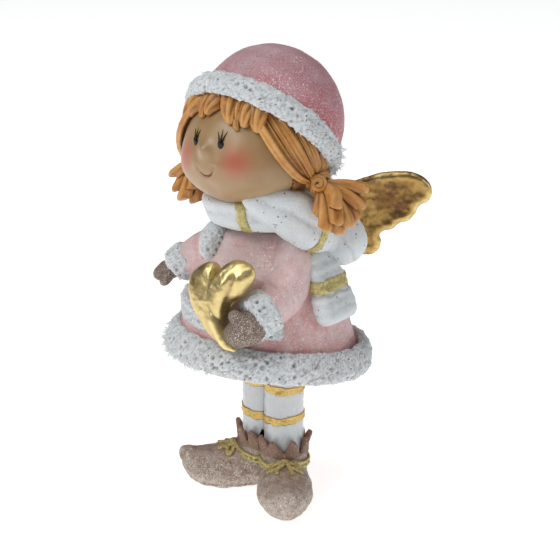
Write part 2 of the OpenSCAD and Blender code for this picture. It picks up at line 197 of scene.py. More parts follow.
def ring(name, section, around=300, place=Matrix.Identity(4)):
    """Turns a closed section of (radius, height) points round the Z axis."""
    bm = bmesh.new()
    corners = [bm.verts.new((r, 0, z)) for r, z in section]
    edges = [bm.edges.new((corners[i - 1], corners[i])) for i in range(len(corners))]
    bmesh.ops.spin(bm, geom=corners + edges, cent=(0, 0, 0), axis=(0, 0, 1), angle=math.tau,
                   steps=around, use_merge=True)
    weld(bm)
    bmesh.ops.transform(bm, matrix=place, verts=bm.verts)
    return link(name, bm)


def sculpt(piece, push):
    """Moves each point along its normal by push(point, normal), in millimetres."""
    mesh = piece.data
    moves = [(v.co.copy(), v.normal.copy()) for v in mesh.vertices]
    for v, (p, n) in zip(mesh.vertices, moves):
        v.co = p + n * push(p, n)
    mesh.update()
    return piece


def bumps(p, *layers):
    """Sum of noise layers, each given as a height and a fineness."""
    return sum(height * noise.noise(p * fineness) for height, fineness in layers)


def crease(distance, width):
    """1 on a line, fading to 0 over its width."""
    return math.exp(-(distance / width) ** 2)


def hump(p, at, reach):
    """1 at a place, fading to 0 over the reach."""
    return math.exp(-(p - Vector(at)).length_squared / (2 * reach * reach))


# %% Tools: what the brush leaves in the pits and on the high spots
def paint(piece, name, value):
    """Stores a number for each point, which the finishes read."""
    layer = piece.data.attributes.get(name) or piece.data.attributes.new(name, "FLOAT", "POINT")
    layer.data.foreach_set("value", [min(1.0, max(0.0, value(v.co))) for v in piece.data.vertices])
    return piece


def relief(piece, rounds=4, gain=5.0):
    """Measures how far each point lies below or above the smoothed skin, for the wash and the dry brush."""
    mesh = piece.data
    count = len(mesh.vertices)
    spots, normals = np.empty(count * 3), np.empty(count * 3)
    mesh.vertices.foreach_get("co", spots)
    mesh.vertices.foreach_get("normal", normals)
    spots, normals = spots.reshape(-1, 3), normals.reshape(-1, 3)
    ends = np.empty(len(mesh.edges) * 2, np.int64)
    mesh.edges.foreach_get("vertices", ends)
    a, b = ends[0::2], ends[1::2]
    share = np.maximum(np.bincount(ends, minlength=count), 1)
    flat = spots.copy()
    for _ in range(rounds):
        flat = np.stack([(np.bincount(a, flat[b, k], count) + np.bincount(b, flat[a, k], count)) / share
                         for k in range(3)], axis=1)
    depth = ((flat - spots) * normals).sum(1)
    depth = (depth - np.median(depth)) * gain
    for name, values in (("pit", depth), ("rise", -depth)):
        layer = mesh.attributes.get(name) or mesh.attributes.new(name, "FLOAT", "POINT")
        layer.data.foreach_set("value", np.clip(values, 0, 1).astype(np.float32))
    return piece


def shut_in(piece, name, reach, gain=1.0):
    """Feels round each point with a few short rays; where they hit something near, the point is marked
    darker.
    """
    bm = bmesh.new()
    bm.from_mesh(piece.data)
    tree = BVHTree.FromBMesh(bm)
    values = []
    for v in bm.verts:
        side = v.normal.orthogonal().normalized()
        other = v.normal.cross(side)
        ways = [v.normal * 0.6 + side * math.cos(k * 1.26) + other * math.sin(k * 1.26)
                for k in range(5)] + [v.normal]
        near = 0.0
        for way in ways:
            hit = tree.ray_cast(v.co + v.normal * 0.04, way.normalized(), reach)[3]
            near += 1 - hit / reach if hit is not None else 0.0
        values.append(near / 6 * gain)
    bm.free()
    layer = piece.data.attributes[name]
    before = np.empty(len(values))
    layer.data.foreach_get("value", before)
    layer.data.foreach_set("value", np.clip(np.maximum(before, np.array(values)), 0, 1).astype(np.float32))
    return piece


def place(piece, finish, nodes, slot):
    """Brings a finished piece into the shared frame, in metres, with its finish."""
    piece.data.transform(TO_FRAME)
    piece.data.materials.clear()
    piece.data.materials.append(finish)
    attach(piece, "root")
    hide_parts(*nodes)
    low, high = [Vector(piece.bound_box[i]) * 1000 for i in (0, 6)]
    print(f"{piece.name}: {len(piece.data.polygons)} faces, "
          f"{' x '.join(str(round(v, 1)) for v in high - low)} mm")
    return piece


# %% [markdown]
# ## Effects that several finishes share
# Loose glitter, the brown wash, fine paint grain and beaten gold leaf come back on many pieces. Each is a
# node group that puts out masks, heights or normals, and every material uses it with its own values.

# %% Node helpers
def linear(code):
    """A colour like "d19854" as the shader needs it."""
    parts = [int(code[i:i + 2], 16) / 255 for i in (0, 2, 4)]
    return (*[c / 12.92 if c <= 0.04045 else ((c + 0.055) / 1.055) ** 2.4 for c in parts], 1)


class Nodes:
    """Adds nodes to a tree; a value may be a number, a colour code or another node's socket."""

    def __init__(self, tree):
        self.tree = tree

    def add(self, kind, settings=None, **inputs):
        node = self.tree.nodes.new("ShaderNode" + kind)
        for key, value in (settings or {}).items():
            setattr(node, key, value)
        for key, value in inputs.items():
            self.set(node.inputs[int(key[1:]) if key[0] == "i"
                                 and key[1:].isdigit() else key.replace("_", " ")], value)
        return node

    def set(self, socket, value):
        if isinstance(value, bpy.types.NodeSocket):
            self.tree.links.new(value, socket)
        else:
            socket.default_value = linear(value) if isinstance(value, str) else value

    def math(self, operation, a, b):
        return self.add("Math", {"operation": operation}, i0=a, i1=b).outputs[0]

    def times(self, a, b):
        return self.math("MULTIPLY", a, b)

    def plus(self, a, b):
        return self.math("ADD", a, b)

    def less(self, a, b):
        return self.math("SUBTRACT", a, b)

    def most(self, a, b):
        return self.math("MAXIMUM", a, b)

    def vector(self, operation, a, b=(0, 0, 0)):
        return self.add("VectorMath", {"operation": operation}, i0=a, i1=b).outputs[0]

    def scaled(self, a, by):
        return self.add("VectorMath", {"operation": "SCALE"}, i0=a, Scale=by).outputs[0]

    def step(self, value, low, high):
        return self.add("MapRange", {"interpolation_type": "SMOOTHSTEP"}, Value=value, From_Min=low,
                        From_Max=high).outputs[0]

    def mix(self, mask, a, b, blend="MIX"):
        node = self.add("Mix", {"data_type": "RGBA", "blend_type": blend}, i0=mask)
        self.set(node.inputs[6], a)
        self.set(node.inputs[7], b)
        return node.outputs[2]

    def cloud(self, scale, detail=3.0, rough=0.5):
        return self.add("TexNoise", Vector=self.add("TexCoord").outputs["Object"], Scale=scale, Detail=detail,
                        Roughness=rough).outputs[0]

    def uneven(self, base, swing, scale):
        """A value that drifts up from its base in soft clouds."""
        return self.plus(base, self.times(self.cloud(scale), swing))

    def painted(self, name):
        return self.add("Attribute", {"attribute_name": name}).outputs["Fac"]


def group(name, inputs, outputs):
    tree = bpy.data.node_groups.new(name, "ShaderNodeTree")
    for label, default in inputs:
        tree.interface.new_socket(label, in_out="INPUT",
                                  socket_type="NodeSocketFloat").default_value = default
    for label, kind in outputs:
        tree.interface.new_socket(label, in_out="OUTPUT", socket_type="NodeSocket" + kind)
    return tree, Nodes(tree), tree.nodes.new("NodeGroupInput"), tree.nodes.new("NodeGroupOutput")


# %% Group: loose glitter
# Each Voronoi cell is one flake with its own tilt; only a share of the cells holds a flake.
GLITTER, g, given, out = group(
    "Loose glitter", [("Scale", 3600), ("Share", 0.2), ("Tilt", 0.5)],
    [("Flake", "Float"), ("Tone", "Float"), ("Normal", "Vector")])
cells = g.add("TexVoronoi", Vector=g.add("TexCoord").outputs["Object"], Scale=given.outputs["Scale"])
parts = g.add("SeparateColor", i0=cells.outputs["Color"])
flake = g.math("GREATER_THAN", given.outputs["Share"], parts.outputs[0])
flake = g.times(flake, g.step(cells.outputs["Distance"], 0.62, 0.4))
tilt = g.vector("SUBTRACT", cells.outputs["Color"], (0.5, 0.5, 0.5))
tilt = g.scaled(tilt, g.times(g.times(flake, 2.0), given.outputs["Tilt"]))
facing = g.add("NewGeometry").outputs["Normal"]
g.set(out.inputs["Normal"], g.add("VectorMath", {"operation": "NORMALIZE"},
                                  i0=g.vector("ADD", facing, tilt)).outputs[0])
g.set(out.inputs["Flake"], flake)
g.set(out.inputs["Tone"], parts.outputs[1])

# %% Group: brown wash in the pits and dry brush on the high spots
WASH, g, given, out = group(
    "Wash and dry brush", [("Wash", 1.0), ("Brush", 1.0), ("Patch", 260)],
    [("Dirt", "Float"), ("Lift", "Float")])
blotch = g.cloud(given.outputs["Patch"], 4.0, 0.6)
dirt = g.times(g.painted("pit"), g.times(given.outputs["Wash"], g.step(blotch, 0.25, 0.6)))
lift = g.times(g.painted("rise"), g.times(given.outputs["Brush"], g.step(blotch, 0.3, 0.65)))
g.set(out.inputs["Dirt"], g.math("MINIMUM", dirt, 1.0))
g.set(out.inputs["Lift"], g.math("MINIMUM", lift, 1.0))

# %% Group: fine grain of brushed paint
GRAIN, g, given, out = group("Paint grain", [("Scale", 1500), ("Coarse", 0.5)], [("Height", "Float")])
fine = g.cloud(given.outputs["Scale"], 4.0, 0.65)
coarse = g.cloud(g.times(given.outputs["Scale"], 0.22), 2.0, 0.5)
g.set(out.inputs["Height"], g.plus(fine, g.times(coarse, given.outputs["Coarse"])))

# %% Group: beaten gold leaf
# The leaf is rubbed through in patches, and the red-brown clay below it shows in specks.
LEAF, g, given, out = group(
    "Gold leaf", [("Patch", 130), ("Worn", 0.5)],
    [("Clay", "Float"), ("Tarnish", "Float"), ("Dull", "Float"), ("Height", "Float")])
wide = g.cloud(given.outputs["Patch"], 5.0, 0.62)
small = g.cloud(g.times(given.outputs["Patch"], 5.0), 4.0, 0.7)
edge = g.less(0.78, g.times(given.outputs["Worn"], 0.3))
g.set(out.inputs["Clay"], g.step(g.plus(g.times(small, 0.55), g.times(wide, 0.5)),
                                 edge, g.plus(edge, 0.09)))
g.set(out.inputs["Tarnish"], g.step(wide, g.less(0.68, g.times(given.outputs["Worn"], 0.3)), 0.75))
g.set(out.inputs["Dull"], small)
beaten = g.add("TexVoronoi", {"feature": "SMOOTH_F1"}, Vector=g.add("TexCoord").outputs["Object"],
               Scale=620.0)
g.set(out.inputs["Height"], g.plus(beaten.outputs["Distance"], g.times(small, 0.6)))
print("groups", [t.name for t in bpy.data.node_groups])


# %% Using a group in a material
def finish(name, **sockets):
    """A new material; all-over values go straight on the Principled shader's sockets."""
    material = bpy.data.materials.new(name)
    material.use_nodes = True
    shader = material.node_tree.nodes["Principled BSDF"]
    for key, value in sockets.items():
        shader.inputs[key.replace("_", " ")].default_value = value
    return material, Nodes(material.node_tree), shader.inputs


def use(n, tree, **inputs):
    node = n.tree.nodes.new("ShaderNodeGroup")
    node.node_tree = tree
    for key, value in inputs.items():
        n.set(node.inputs[key], value)
    return node.outputs


def bump(n, height, distance, strength=1.0, normal=None):
    node = n.add("Bump", Height=height, Distance=distance, Strength=strength)
    if normal is not None:
        n.set(node.inputs["Normal"], normal)
    return node.outputs[0]


# %% [markdown]
# ## The finishes
# ** Painted glitter** (coat, hat, mittens, shoes): a matte acrylic colour, a second colour in the recesses
# and as painted shade, a pale dry brush and painted highlight on top, and glitter flakes. The flakes are
# small mirrors, so they are metallic and have their own normal. **White fur paste** (hem, brim, cuffs): a
# bluish white with grey-brown in the pits.

# %% Painted and glittered finishes
def glitter_paint(name, body, deep, pale_dust_and_highlight, flakes, share, tilt=0.55, scale=3600, wash=1.0, brush=1.0,
                  dust=0.35):
    material, n, skin = finish(name, Specular_IOR_Level=0.4)
    marks = use(n, WASH, Wash=wash, Brush=brush)
    spark = use(n, GLITTER, Scale=scale, Share=share, Tilt=tilt)
    grain = use(n, GRAIN, Scale=1700.0, Coarse=0.6)
    cloudy = n.step(n.cloud(420.0, 5.0, 0.7), 0.3, 0.75)
    # The second colour is coral paint in hollows, and on the coat and the shoes it also holds painted shade.
    tone = n.mix(n.most(marks["Dirt"], n.painted("deep")), body, deep)
    tone = n.mix(n.times(cloudy, dust), tone, pale_dust_and_highlight)
    # The pale patches mixed in here are random dry brush, and on the coat and the hat also painted highlight.
    tone = n.mix(n.times(n.most(marks["Lift"], n.painted("frost_and_highlight")), 0.7), tone, pale_dust_and_highlight)
    speck = n.times(spark["Flake"], n.plus(0.35, n.times(spark["Tone"], 0.65)))
    n.set(skin["Base Color"], n.mix(speck, tone, flakes))
    n.set(skin["Metallic"], n.times(spark["Flake"], 0.85))
    n.set(skin["Roughness"], n.less(0.72, n.times(spark["Flake"], 0.42)))
    n.set(skin["Normal"], bump(n, grain["Height"], 0.00022, 0.7, spark["Normal"]))
    return material


COAT_PAINT = glitter_paint("rose coat paint", "d6abab", "d08d87", "e9dbda", "f7f0ee", 0.28, dust=0.55)
HAT_PAINT = glitter_paint("dusty rose hat paint", "b3737b", "b95a5e", "d6c2c7", "eadfe2", 0.36, dust=0.22)
BOOT_PAINT = glitter_paint("taupe boot paint", "8f7663", "6a4c39", "c9c3ba", "e6e0d8", 0.45, dust=0.7)
MITTEN_PAINT = glitter_paint("taupe mitten paint", "78665a", "544135", "a0938a", "ddd5cc", 0.42, dust=0.3)
LEAFLET_PAINT = glitter_paint("copper leaflet paint", "846857", "5f4536", "ad9483", "dcc3ad", 0.16, dust=0.45)


def white_paste(name, body, deep, wash, share, grain_height):
    material, n, skin = finish(name, Specular_IOR_Level=0.35)
    marks = use(n, WASH, Wash=wash, Brush=0.8, Patch=420.0)
    spark = use(n, GLITTER, Scale=3900.0, Share=share, Tilt=0.6)
    fleck = use(n, GLITTER, Scale=1650.0, Share=0.018)
    grain = use(n, GRAIN, Scale=2100.0, Coarse=0.8)
    cool = n.mix(n.cloud(150.0), body, "d3dade")
    tone = n.mix(n.most(marks["Dirt"], fleck["Flake"]), cool, deep)
    tone = n.mix(n.times(marks["Lift"], 0.8), tone, "f2f4f4")
    n.set(skin["Base Color"], n.mix(n.times(spark["Flake"], 0.6), tone, "ffffff"))
    n.set(skin["Metallic"], n.times(spark["Flake"], 0.6))
    n.set(skin["Roughness"], n.less(0.8, n.times(spark["Flake"], 0.45)))
    n.set(skin["Normal"], bump(n, grain["Height"], grain_height, 0.8, spark["Normal"]))
    return material


FUR_PASTE = white_paste("white fur paste", "e4e7e8", "756d64", 0.85, 0.10, 0.0003)
SCARF_PAINT = white_paste("white scarf paint", "e3e6e7", "8d8a86", 0.8, 0.07, 0.0002)

# %% [markdown]
# **Gold leaf** (wings, heart): real leaf is metal, so the shader is metallic, with tarnish and clay patches
# where it is less so. **Gold glitter glue** (scarf stripes, laces) is a rough line of gold grains.

# %% Gold finishes
def gold_leaf(name, bright, tarnish, clay, patch, worn, deep):
    material, n, skin = finish(name)
    leaf = use(n, LEAF, Patch=patch, Worn=worn)
    marks = use(n, WASH, Wash=1.0, Brush=1.0, Patch=200.0)
    tone = n.mix(leaf["Tarnish"], bright, tarnish)
    tone = n.mix(leaf["Clay"], tone, clay)
    tone = n.mix(n.times(marks["Dirt"], 0.85), tone, deep)
    tone = n.mix(n.times(marks["Lift"], 0.8), tone, "f3dd9b")
    n.set(skin["Base Color"], tone)
    n.set(skin["Metallic"], n.less(1.0, n.times(n.most(leaf["Clay"], marks["Dirt"]), 0.6)))
    n.set(skin["Roughness"], n.plus(0.24, n.times(n.most(leaf["Dull"], leaf["Clay"]), 0.3)))
    n.set(skin["Normal"], bump(n, leaf["Height"], 0.00025, 0.9))
    return material


HEART_GOLD = gold_leaf("gold leaf on the heart", "d9c38a", "ae9560", "8a683f", 120.0, 0.36, "5c4426")
WING_GOLD = gold_leaf("gold leaf on the wings", "b08d53", "7a5a34", "704a2d", 75.0, 0.55, "3d2915")
STRIPE_GOLD = gold_leaf("gold leaf stripes", "cdb06a", "8a6a38", "6a4a2a", 260.0, 0.5, "4e3a20")

GLUE_GOLD, n, skin = finish("gold glitter glue")
spark = use(n, GLITTER, Scale=4200.0, Share=0.6, Tilt=0.8)
grain = use(n, GRAIN, Scale=2400.0, Coarse=0.6)
tone = n.mix(n.step(n.cloud(900.0), 0.35, 0.65), "b6a968", "d8c98c")
n.set(skin["Base Color"], n.mix(n.times(spark["Flake"], spark["Tone"]), tone, "f2e7b4"))
n.set(skin["Metallic"], n.plus(0.45, n.times(spark["Flake"], 0.5)))
n.set(skin["Roughness"], n.less(0.55, n.times(spark["Flake"], 0.25)))
n.set(skin["Normal"], bump(n, grain["Height"], 0.0003, 0.9, spark["Normal"]))

# %% [markdown]
# **Skin** is a pearly tan under a satin varnish, with blush dabbed on the cheeks. **Hair** is a caramel
# orange with a dark wash between the strands. **Stockings** are glossy white, and the **eyes** are enamel.

# %% Skin, hair, stockings, enamel and steel
SKIN_PAINT, n, skin = finish("pearly skin paint", Coat_Roughness=0.3, Specular_IOR_Level=0.5)
marks = use(n, WASH, Wash=0.8, Brush=0.5, Patch=150.0)
pearl = n.mix(n.step(n.cloud(60.0, 3.0, 0.6), 0.35, 0.7), "a17f58", "a88d66")
pearl = n.mix(n.times(n.painted("blush"), 0.8), pearl, "b85a49")
pearl = n.mix(n.times(n.painted("shade"), 0.75), pearl, "84592f")
n.set(skin["Base Color"], n.mix(n.times(marks["Dirt"], 0.6), pearl, "8a5638"))
n.set(skin["Roughness"], n.uneven(0.3, 0.18, 500.0))
n.set(skin["Coat Weight"], n.times(n.step(n.cloud(90.0), 0.3, 0.7), 0.35))
n.set(skin["Normal"], bump(n, n.cloud(260.0), 0.0004, 0.25))

HAIR_PAINT, n, skin = finish("ginger hair paint", Specular_IOR_Level=0.5)
marks = use(n, WASH, Wash=1.0, Brush=1.0, Patch=300.0)
tone = n.mix(n.step(n.cloud(170.0, 4.0, 0.6), 0.3, 0.7), "b87733", "d29a56")
tone = n.mix(n.most(n.painted("deep"), n.times(marks["Dirt"], 0.9)), tone, "5a3416")
n.set(skin["Base Color"], n.mix(n.times(marks["Lift"], 0.5), tone, "e3b273"))
n.set(skin["Roughness"], n.uneven(0.32, 0.2, 700.0))
n.set(skin["Normal"], bump(n, n.cloud(1300.0), 0.0002, 0.35))

STOCKING_PAINT, n, skin = finish("white stocking enamel", Coat_Roughness=0.15, Specular_IOR_Level=0.5)
marks = use(n, WASH, Wash=1.0, Brush=0.0)
tone = n.mix(n.cloud(120.0), "d3dadc", "c6ced1")
# The grey-brown here also carries painted shade at the top and the foot of each stocking.
n.set(skin["Base Color"], n.mix(n.most(marks["Dirt"], n.painted("deep")), tone, "8e8273"))
n.set(skin["Roughness"], n.uneven(0.2, 0.15, 400.0))
n.set(skin["Coat Weight"], n.uneven(0.3, 0.2, 80.0))
n.set(skin["Normal"], bump(n, n.cloud(700.0), 0.0002, 0.3))


def plain_paint(name, patch, one, other, rough, grain, swing, **sockets):
    """Two near colours in clouds, with an uneven gloss."""
    material, n, skin = finish(name, **sockets)
    n.set(skin["Base Color"], n.mix(n.cloud(patch), one, other))
    n.set(skin["Roughness"], n.uneven(rough, swing, grain))
    return material


EYE_ENAMEL = plain_paint("black eye enamel", 400.0, "0e0b0a", "231a17", 0.15, 600.0, 0.1,
                         Specular_IOR_Level=0.3)
LIP_PAINT = plain_paint("brown red lip paint", 800.0, "6d2a20", "863c2e", 0.3, 900.0, 0.15,
                        Specular_IOR_Level=0.5)
# Painted highlight dots on the eyes.
GLINT_PAINT = plain_paint("painted eye highlight", 2000.0, "dfe6ea", "f6f8f8", 0.2, 900.0, 0.15,
                          Specular_IOR_Level=0.5)
PIN_STEEL = plain_paint("drawn steel", 3000.0, "9a9a98", "b9b9b6", 0.25, 2600.0, 0.2, Metallic=1.0)
for node in ("left_leg_pin", "right_leg_pin", "neck_pin"):
    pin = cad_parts[node]
    pin.data.materials.clear()
    pin.data.materials.append(PIN_STEEL)
print("finishes", len(bpy.data.materials))

# %% [markdown]
# ## Head
# The head is one casting: a round skull, full cheeks, a small chin and a soft nose that grows out of the
# face. An icosphere gives even faces for the fine carving. The upper half is higher than the jaw.

# %% Head: places on the face
def skull(out=0.0, fine=7):
    """The head's egg in the figure's axes, not yet tipped."""
    bm = bmesh.new()
    bmesh.ops.create_icosphere(bm, subdivisions=fine, radius=1)
    for v in bm.verts:
        tall = CROWN_H if v.co.z > 0 else JAW_H
        v.co = HEAD + Vector((v.co.x * (SKULL_R + out), v.co.y * (SKULL_R + out), v.co.z * (tall + out)))
    return bm


def skull_level(d):
    """1 on the skull's skin and less below it, for a way d from the middle of the head."""
    tall = CROWN_H if d.z > 0 else JAW_H
    return math.sqrt((d.x / SKULL_R) ** 2 + (d.y / SKULL_R) ** 2 + (d.z / tall) ** 2)


def on_face(compass, height, out=0.0):
    """A point on the untipped head, at a turn from the middle of the face and a height above the floor."""
    tall = CROWN_H if height > HEAD.z else JAW_H
    r = SKULL_R * math.sqrt(max(0.0, 1 - ((height - HEAD.z) / tall) ** 2)) + out
    a = math.radians(compass)
    return Vector((r * math.sin(a), HEAD.y - r * math.cos(a), height))


def over_scalp(p, out):
    """Moves a point in or out until it lies this far above the skull."""
    d = Vector(p) - HEAD
    on = d / max(skull_level(d), 1e-6)
    return HEAD + on + on.normalized() * out


EYE_TURN, EYE_HEIGHT = 14.5, 106.9
smile_line = [on_face(-7.4, 100.9), on_face(-4.2, 99.4), on_face(0.8, 98.8), on_face(5.4, 99.4),
              on_face(9.4, 101.3)]
SOFT_FORMS = [
    (on_face(-36, 98.6), 5.4, 0.9), (on_face(36, 98.6), 5.4, 0.9), (on_face(0, 91.6), 4.4, 0.7),
    (on_face(0.5, 95.4), 1.7, -0.35), (on_face(0.5, 102.0), 3.0, 0.25),
    (on_face(-EYE_TURN, 107.4), 2.6, -0.4), (on_face(EYE_TURN, 107.4), 2.6, -0.4),
    (on_face(-EYE_TURN, 112.5), 3.0, 0.2), (on_face(EYE_TURN, 112.5), 3.0, 0.2),
    (on_face(-9.4, 101.6), 1.1, 0.3), (on_face(11.4, 102.2), 1.1, 0.3), (on_face(0.5, 100.8), 1.5, 0.2),
    (on_face(0, 105.9), 1.6, 0.9), (on_face(0, 105.7), 1.15, 0.9), (on_face(0, 109), 1.8, 0.15)]
smile_flow = flow(smile_line, 10)


def near_line(p, line):
    return min((p - q).length for q in line)


def face_form(p, n):
    if p.y > HEAD.y:
        return 0.0
    lift = sum(size * hump(p, at, reach) for at, reach, size in SOFT_FORMS)
    return lift - 0.4 * crease(near_line(p, smile_flow), 0.55) + 0.06 * noise.noise(p * 0.25)


head = link("head_cast", skull())
sculpt(head, face_form)
paint(head, "blush", lambda p: 1.1 * hump(p, on_face(28, 103.0), 2.6)
      + 1.1 * hump(p, on_face(-28, 103.0), 2.6))
paint(head, "shade", lambda p: max(0.0, (93 - p.z) / 9) + max(0.0, (abs(p.x) - 15.5) / 6) * 0.6)
relief(head, 4, 4.0)
head.data.transform(TIP)
place(head, SKIN_PAINT, ("head", "nose"), "skin")

# %% Eyes, painted highlight dots, lashes and smile
def bead(name, at, size, finish_, nodes, slot, turned):
    bm = bmesh.new()
    lump(bm, (0, 0, 0), size, fine=5)
    bmesh.ops.transform(bm, matrix=TIP @ Matrix.Translation(at) @ turned, verts=bm.verts)
    return place(link(name, bm), finish_, nodes, slot)


for side, word in SIDES:
    tilt = turn("Z", side * EYE_TURN) @ turn("X", 12)
    bead(f"{word}_eye_bead", on_face(side * EYE_TURN, EYE_HEIGHT, -0.45), (0.92, 0.66, 1.7), EYE_ENAMEL,
         (f"{word}_eye",), "ink", tilt)
    # Painted highlight: a white dot on each eye, both off to the same side, standing in for a glint.
    bead(f"{word}_eye_highlight_dot", on_face(side * EYE_TURN - 1.2, EYE_HEIGHT + 0.75, 0.02), (0.24, 0.16, 0.3),
         GLINT_PAINT,
         (), "snow_fur", tilt)


def strand(name, line, radius, taper=None, sides=4, sizes=None, section=None, twist=0.0):
    """A tube along a smooth line, as a mesh; taper gives the radius of each point as a share."""
    curve = bpy.data.curves.new(name, "CURVE")
    curve.dimensions, curve.use_fill_caps = "3D", True
    curve.bevel_depth, curve.bevel_resolution = radius, sides
    if section:
        curve.bevel_mode, curve.bevel_object = "OBJECT", section
    spline = curve.splines.new("POLY")
    spline.points.add(len(line) - 1)
    for i, (point, p) in enumerate(zip(spline.points, line)):
        point.co = (*p[:3], 1)
        point.radius = sizes[i] if sizes else taper(i / (len(line) - 1)) if taper else 1
        point.tilt = twist * i / len(line)
    holder = bpy.data.objects.new(name, curve)
    bpy.context.scene.collection.objects.link(holder)
    bpy.context.view_layer.update()
    mesh = bpy.data.meshes.new_from_object(holder.evaluated_get(bpy.context.evaluated_depsgraph_get()))
    bpy.data.objects.remove(holder)
    bm = bmesh.new()
    bm.from_mesh(mesh)
    bpy.data.meshes.remove(mesh)
    weld(bm)
    return bm


def gather(bm, other):
    """Adds another bmesh to this one."""
    mesh = bpy.data.meshes.new("part")
    other.to_mesh(mesh)
    other.free()
    bm.from_mesh(mesh)
    bpy.data.meshes.remove(mesh)
    return bm


lashes = bmesh.new()
for side in (1, -1):
    for lash in (-1, 0, 1):
        root, end = side * EYE_TURN + lash * 1.5, side * EYE_TURN + lash * 4.6 + side * 0.8
        line = [on_face(root, EYE_HEIGHT + 1.2, 0.05),
                on_face(root * 0.6 + end * 0.4, EYE_HEIGHT + 2.4, 0.1),
                on_face(end, EYE_HEIGHT + 4.2 - abs(lash) * 0.7, 0.05)]
        gather(lashes, strand("lash", flow(line, 5), 0.2, lambda t: 1 - 0.7 * t, 2))
lashes.transform(TIP)
place(link("painted_lashes", lashes), EYE_ENAMEL, ("lashes",), "ink")
smile = strand("smile", [p + (p - HEAD).normalized() * -0.1 for p in smile_flow], 0.4,
               lambda t: 0.35 + 0.65 * math.sin(math.pi * (0.08 + 0.84 * t)), 3)
smile.transform(TIP)
place(link("smile_line", smile), LIP_PAINT, ("smile",), "lip_red")

# %% [markdown]
# ## Hair
# The hair is carved as bundles of strands that lie on the skull. Each strand is a tube with a ridged
# section, swept along a line that is pressed onto the scalp. The hair is darkest where strands meet and
# where short rays from a point hit other strands, so each point of a strand stores how deep it lies.

# %% Hair: a ridged strand
def ridged(name, line, sizes, ridges=5, depth=0.16, twist=0.0):
    """A strand with grooves along it: a small ridged section, swept along the line."""
    section = bpy.data.curves.new("section", "CURVE")
    section.dimensions = "2D"
    ridge = section.splines.new("POLY")
    ridge.points.add(19)
    ridge.use_cyclic_u = True
    for k, point in enumerate(ridge.points):
        a = math.tau * k / 20
        r = 1 + depth * math.cos(ridges * a + 0.6)
        point.co = (r * math.cos(a), r * math.sin(a), 0, 1)
    holder = bpy.data.objects.new("section", section)
    bpy.context.scene.collection.objects.link(holder)
    bm = strand(name, line, 1, None, 0, sizes, holder, twist)
    bpy.data.objects.remove(holder)
    return bm


def round_ends(count, size, start=0.35, end=0.3, power=0.5):
    """Radii along a strand that starts thin and has a rounded end."""
    sizes = []
    for i in range(count):
        t = i / (count - 1)
        grow = min(1.0, 0.45 + t / start)
        close = math.sqrt(max(0.0, 1 - max(0.0, (t - (1 - end)) / end) ** 2))
        sizes.append(max(0.06, size * grow * close ** (power * 2)))
    return sizes


def deep_in_hair(p):
    """Dark where a strand sinks towards the scalp."""
    d = (TIP.inverted() @ p) - HEAD
    height = d.length * (1 - 1 / max(skull_level(d), 0.2))
    return 1.6 - height / 1.05 + 0.3 * noise.noise(p * 0.6)


ROOT_R = 20.4


def brim_point(angle, height):
    """A place inside the hat's edge where a strand starts, on the head before it is tipped."""
    a = math.radians(angle)
    return TIP.inverted() @ (HAT_FRAME @ Vector((ROOT_R * math.cos(a), ROOT_R * math.sin(a), height)))


TIE = Vector((19.2, -2, 94.6))

# %% Hair: scalp, side strands and fringe
def bare(face):
    """True in front of the ears and at the nape, where no scalp hair is seen."""
    at = face.calc_center_median()
    return math.degrees(math.atan2(abs(at.x), HEAD.y + 4 - at.y)) < 64 or at.z < 91


def paint_hair(piece, node, deep, reach=1.6, gain=1.9, contrast=6.0):
    """Dark between the strands and in the pits, and the pale dry brush on top."""
    paint(piece, "deep", deep)
    shut_in(piece, "deep", reach, gain)
    relief(piece, 5, contrast)
    return place(piece, HAIR_PAINT, (node,), "hair_ginger")


scalp = skull(0.75, 6)
cut(scalp, TIP.inverted() @ HAT_FRAME, 2, clear_outer=True)
bmesh.ops.delete(scalp, geom=[f for f in scalp.faces if bare(f)], context="FACES")
bmesh.ops.solidify(scalp, geom=scalp.faces[:], thickness=0.7)
bmesh.ops.recalc_face_normals(scalp, faces=scalp.faces)
scalp.transform(TIP)
scalp = link("scalp_hair", scalp)
paint(scalp, "deep", lambda p: 0.8 + 0.4 * noise.noise(p * 0.8))
place(scalp, HAIR_PAINT, ("hair_cap",), "hair_ginger")


def comb(start, end, lift, bow, forward=0.0, count=16):
    """A line pressed onto the scalp from one point to another; it may sag and swing forward on the way."""
    line = []
    for i in range(count):
        t = i / (count - 1)
        swing = Vector((0, -forward, bow)) * math.sin(math.pi * t)
        p = over_scalp(Vector(start).lerp(end, t) + swing, lift(t))
        line.append(p.lerp(Vector(end), max(0.0, (t - 0.8) / 0.2) ** 1.5))
    return line


def side_hair(mirrored):
    bm = bmesh.new()
    for i in range(17):
        angle = -66 + 9.4 * i
        start = brim_point(180 - angle if mirrored else angle, -1.2)
        if mirrored:
            start.x = -start.x
        fan = (i - 7) / 9
        end = TIE + Vector((-0.6, fan * 1.9, 0.8 - abs(fan) * 0.9))
        wave = (0.35, -0.3, 0.1)[i % 3]
        bow = (-4.6, -3.7, -2.9, -2.1, -1.4, -0.8, -0.3)[i] if i < 7 else 0.4
        line = comb(start, end, lambda t: 0.7 + 0.3 * math.sin(math.pi * t) + wave, bow, -0.45 * bow)
        size = (1.2, 0.9, 1.05)[i % 3]
        sizes = [size * (0.85 + 0.3 * math.sin(math.pi * k / 15)) * (1 - 0.3 * k / 15) for k in range(16)]
        gather(bm, ridged("strand", line, sizes, (4, 5, 6)[i % 3], 0.19, random.uniform(-0.8, 0.8)))
    return bm


for side, word in SIDES:
    bm = side_hair(side < 0)
    refine(bm)
    if side < 0:
        mirror(bm)
    bm.transform(TIP)
    paint_hair(link(f"{word}_side_strands", bm), f"{word}_side_hair", deep_in_hair)

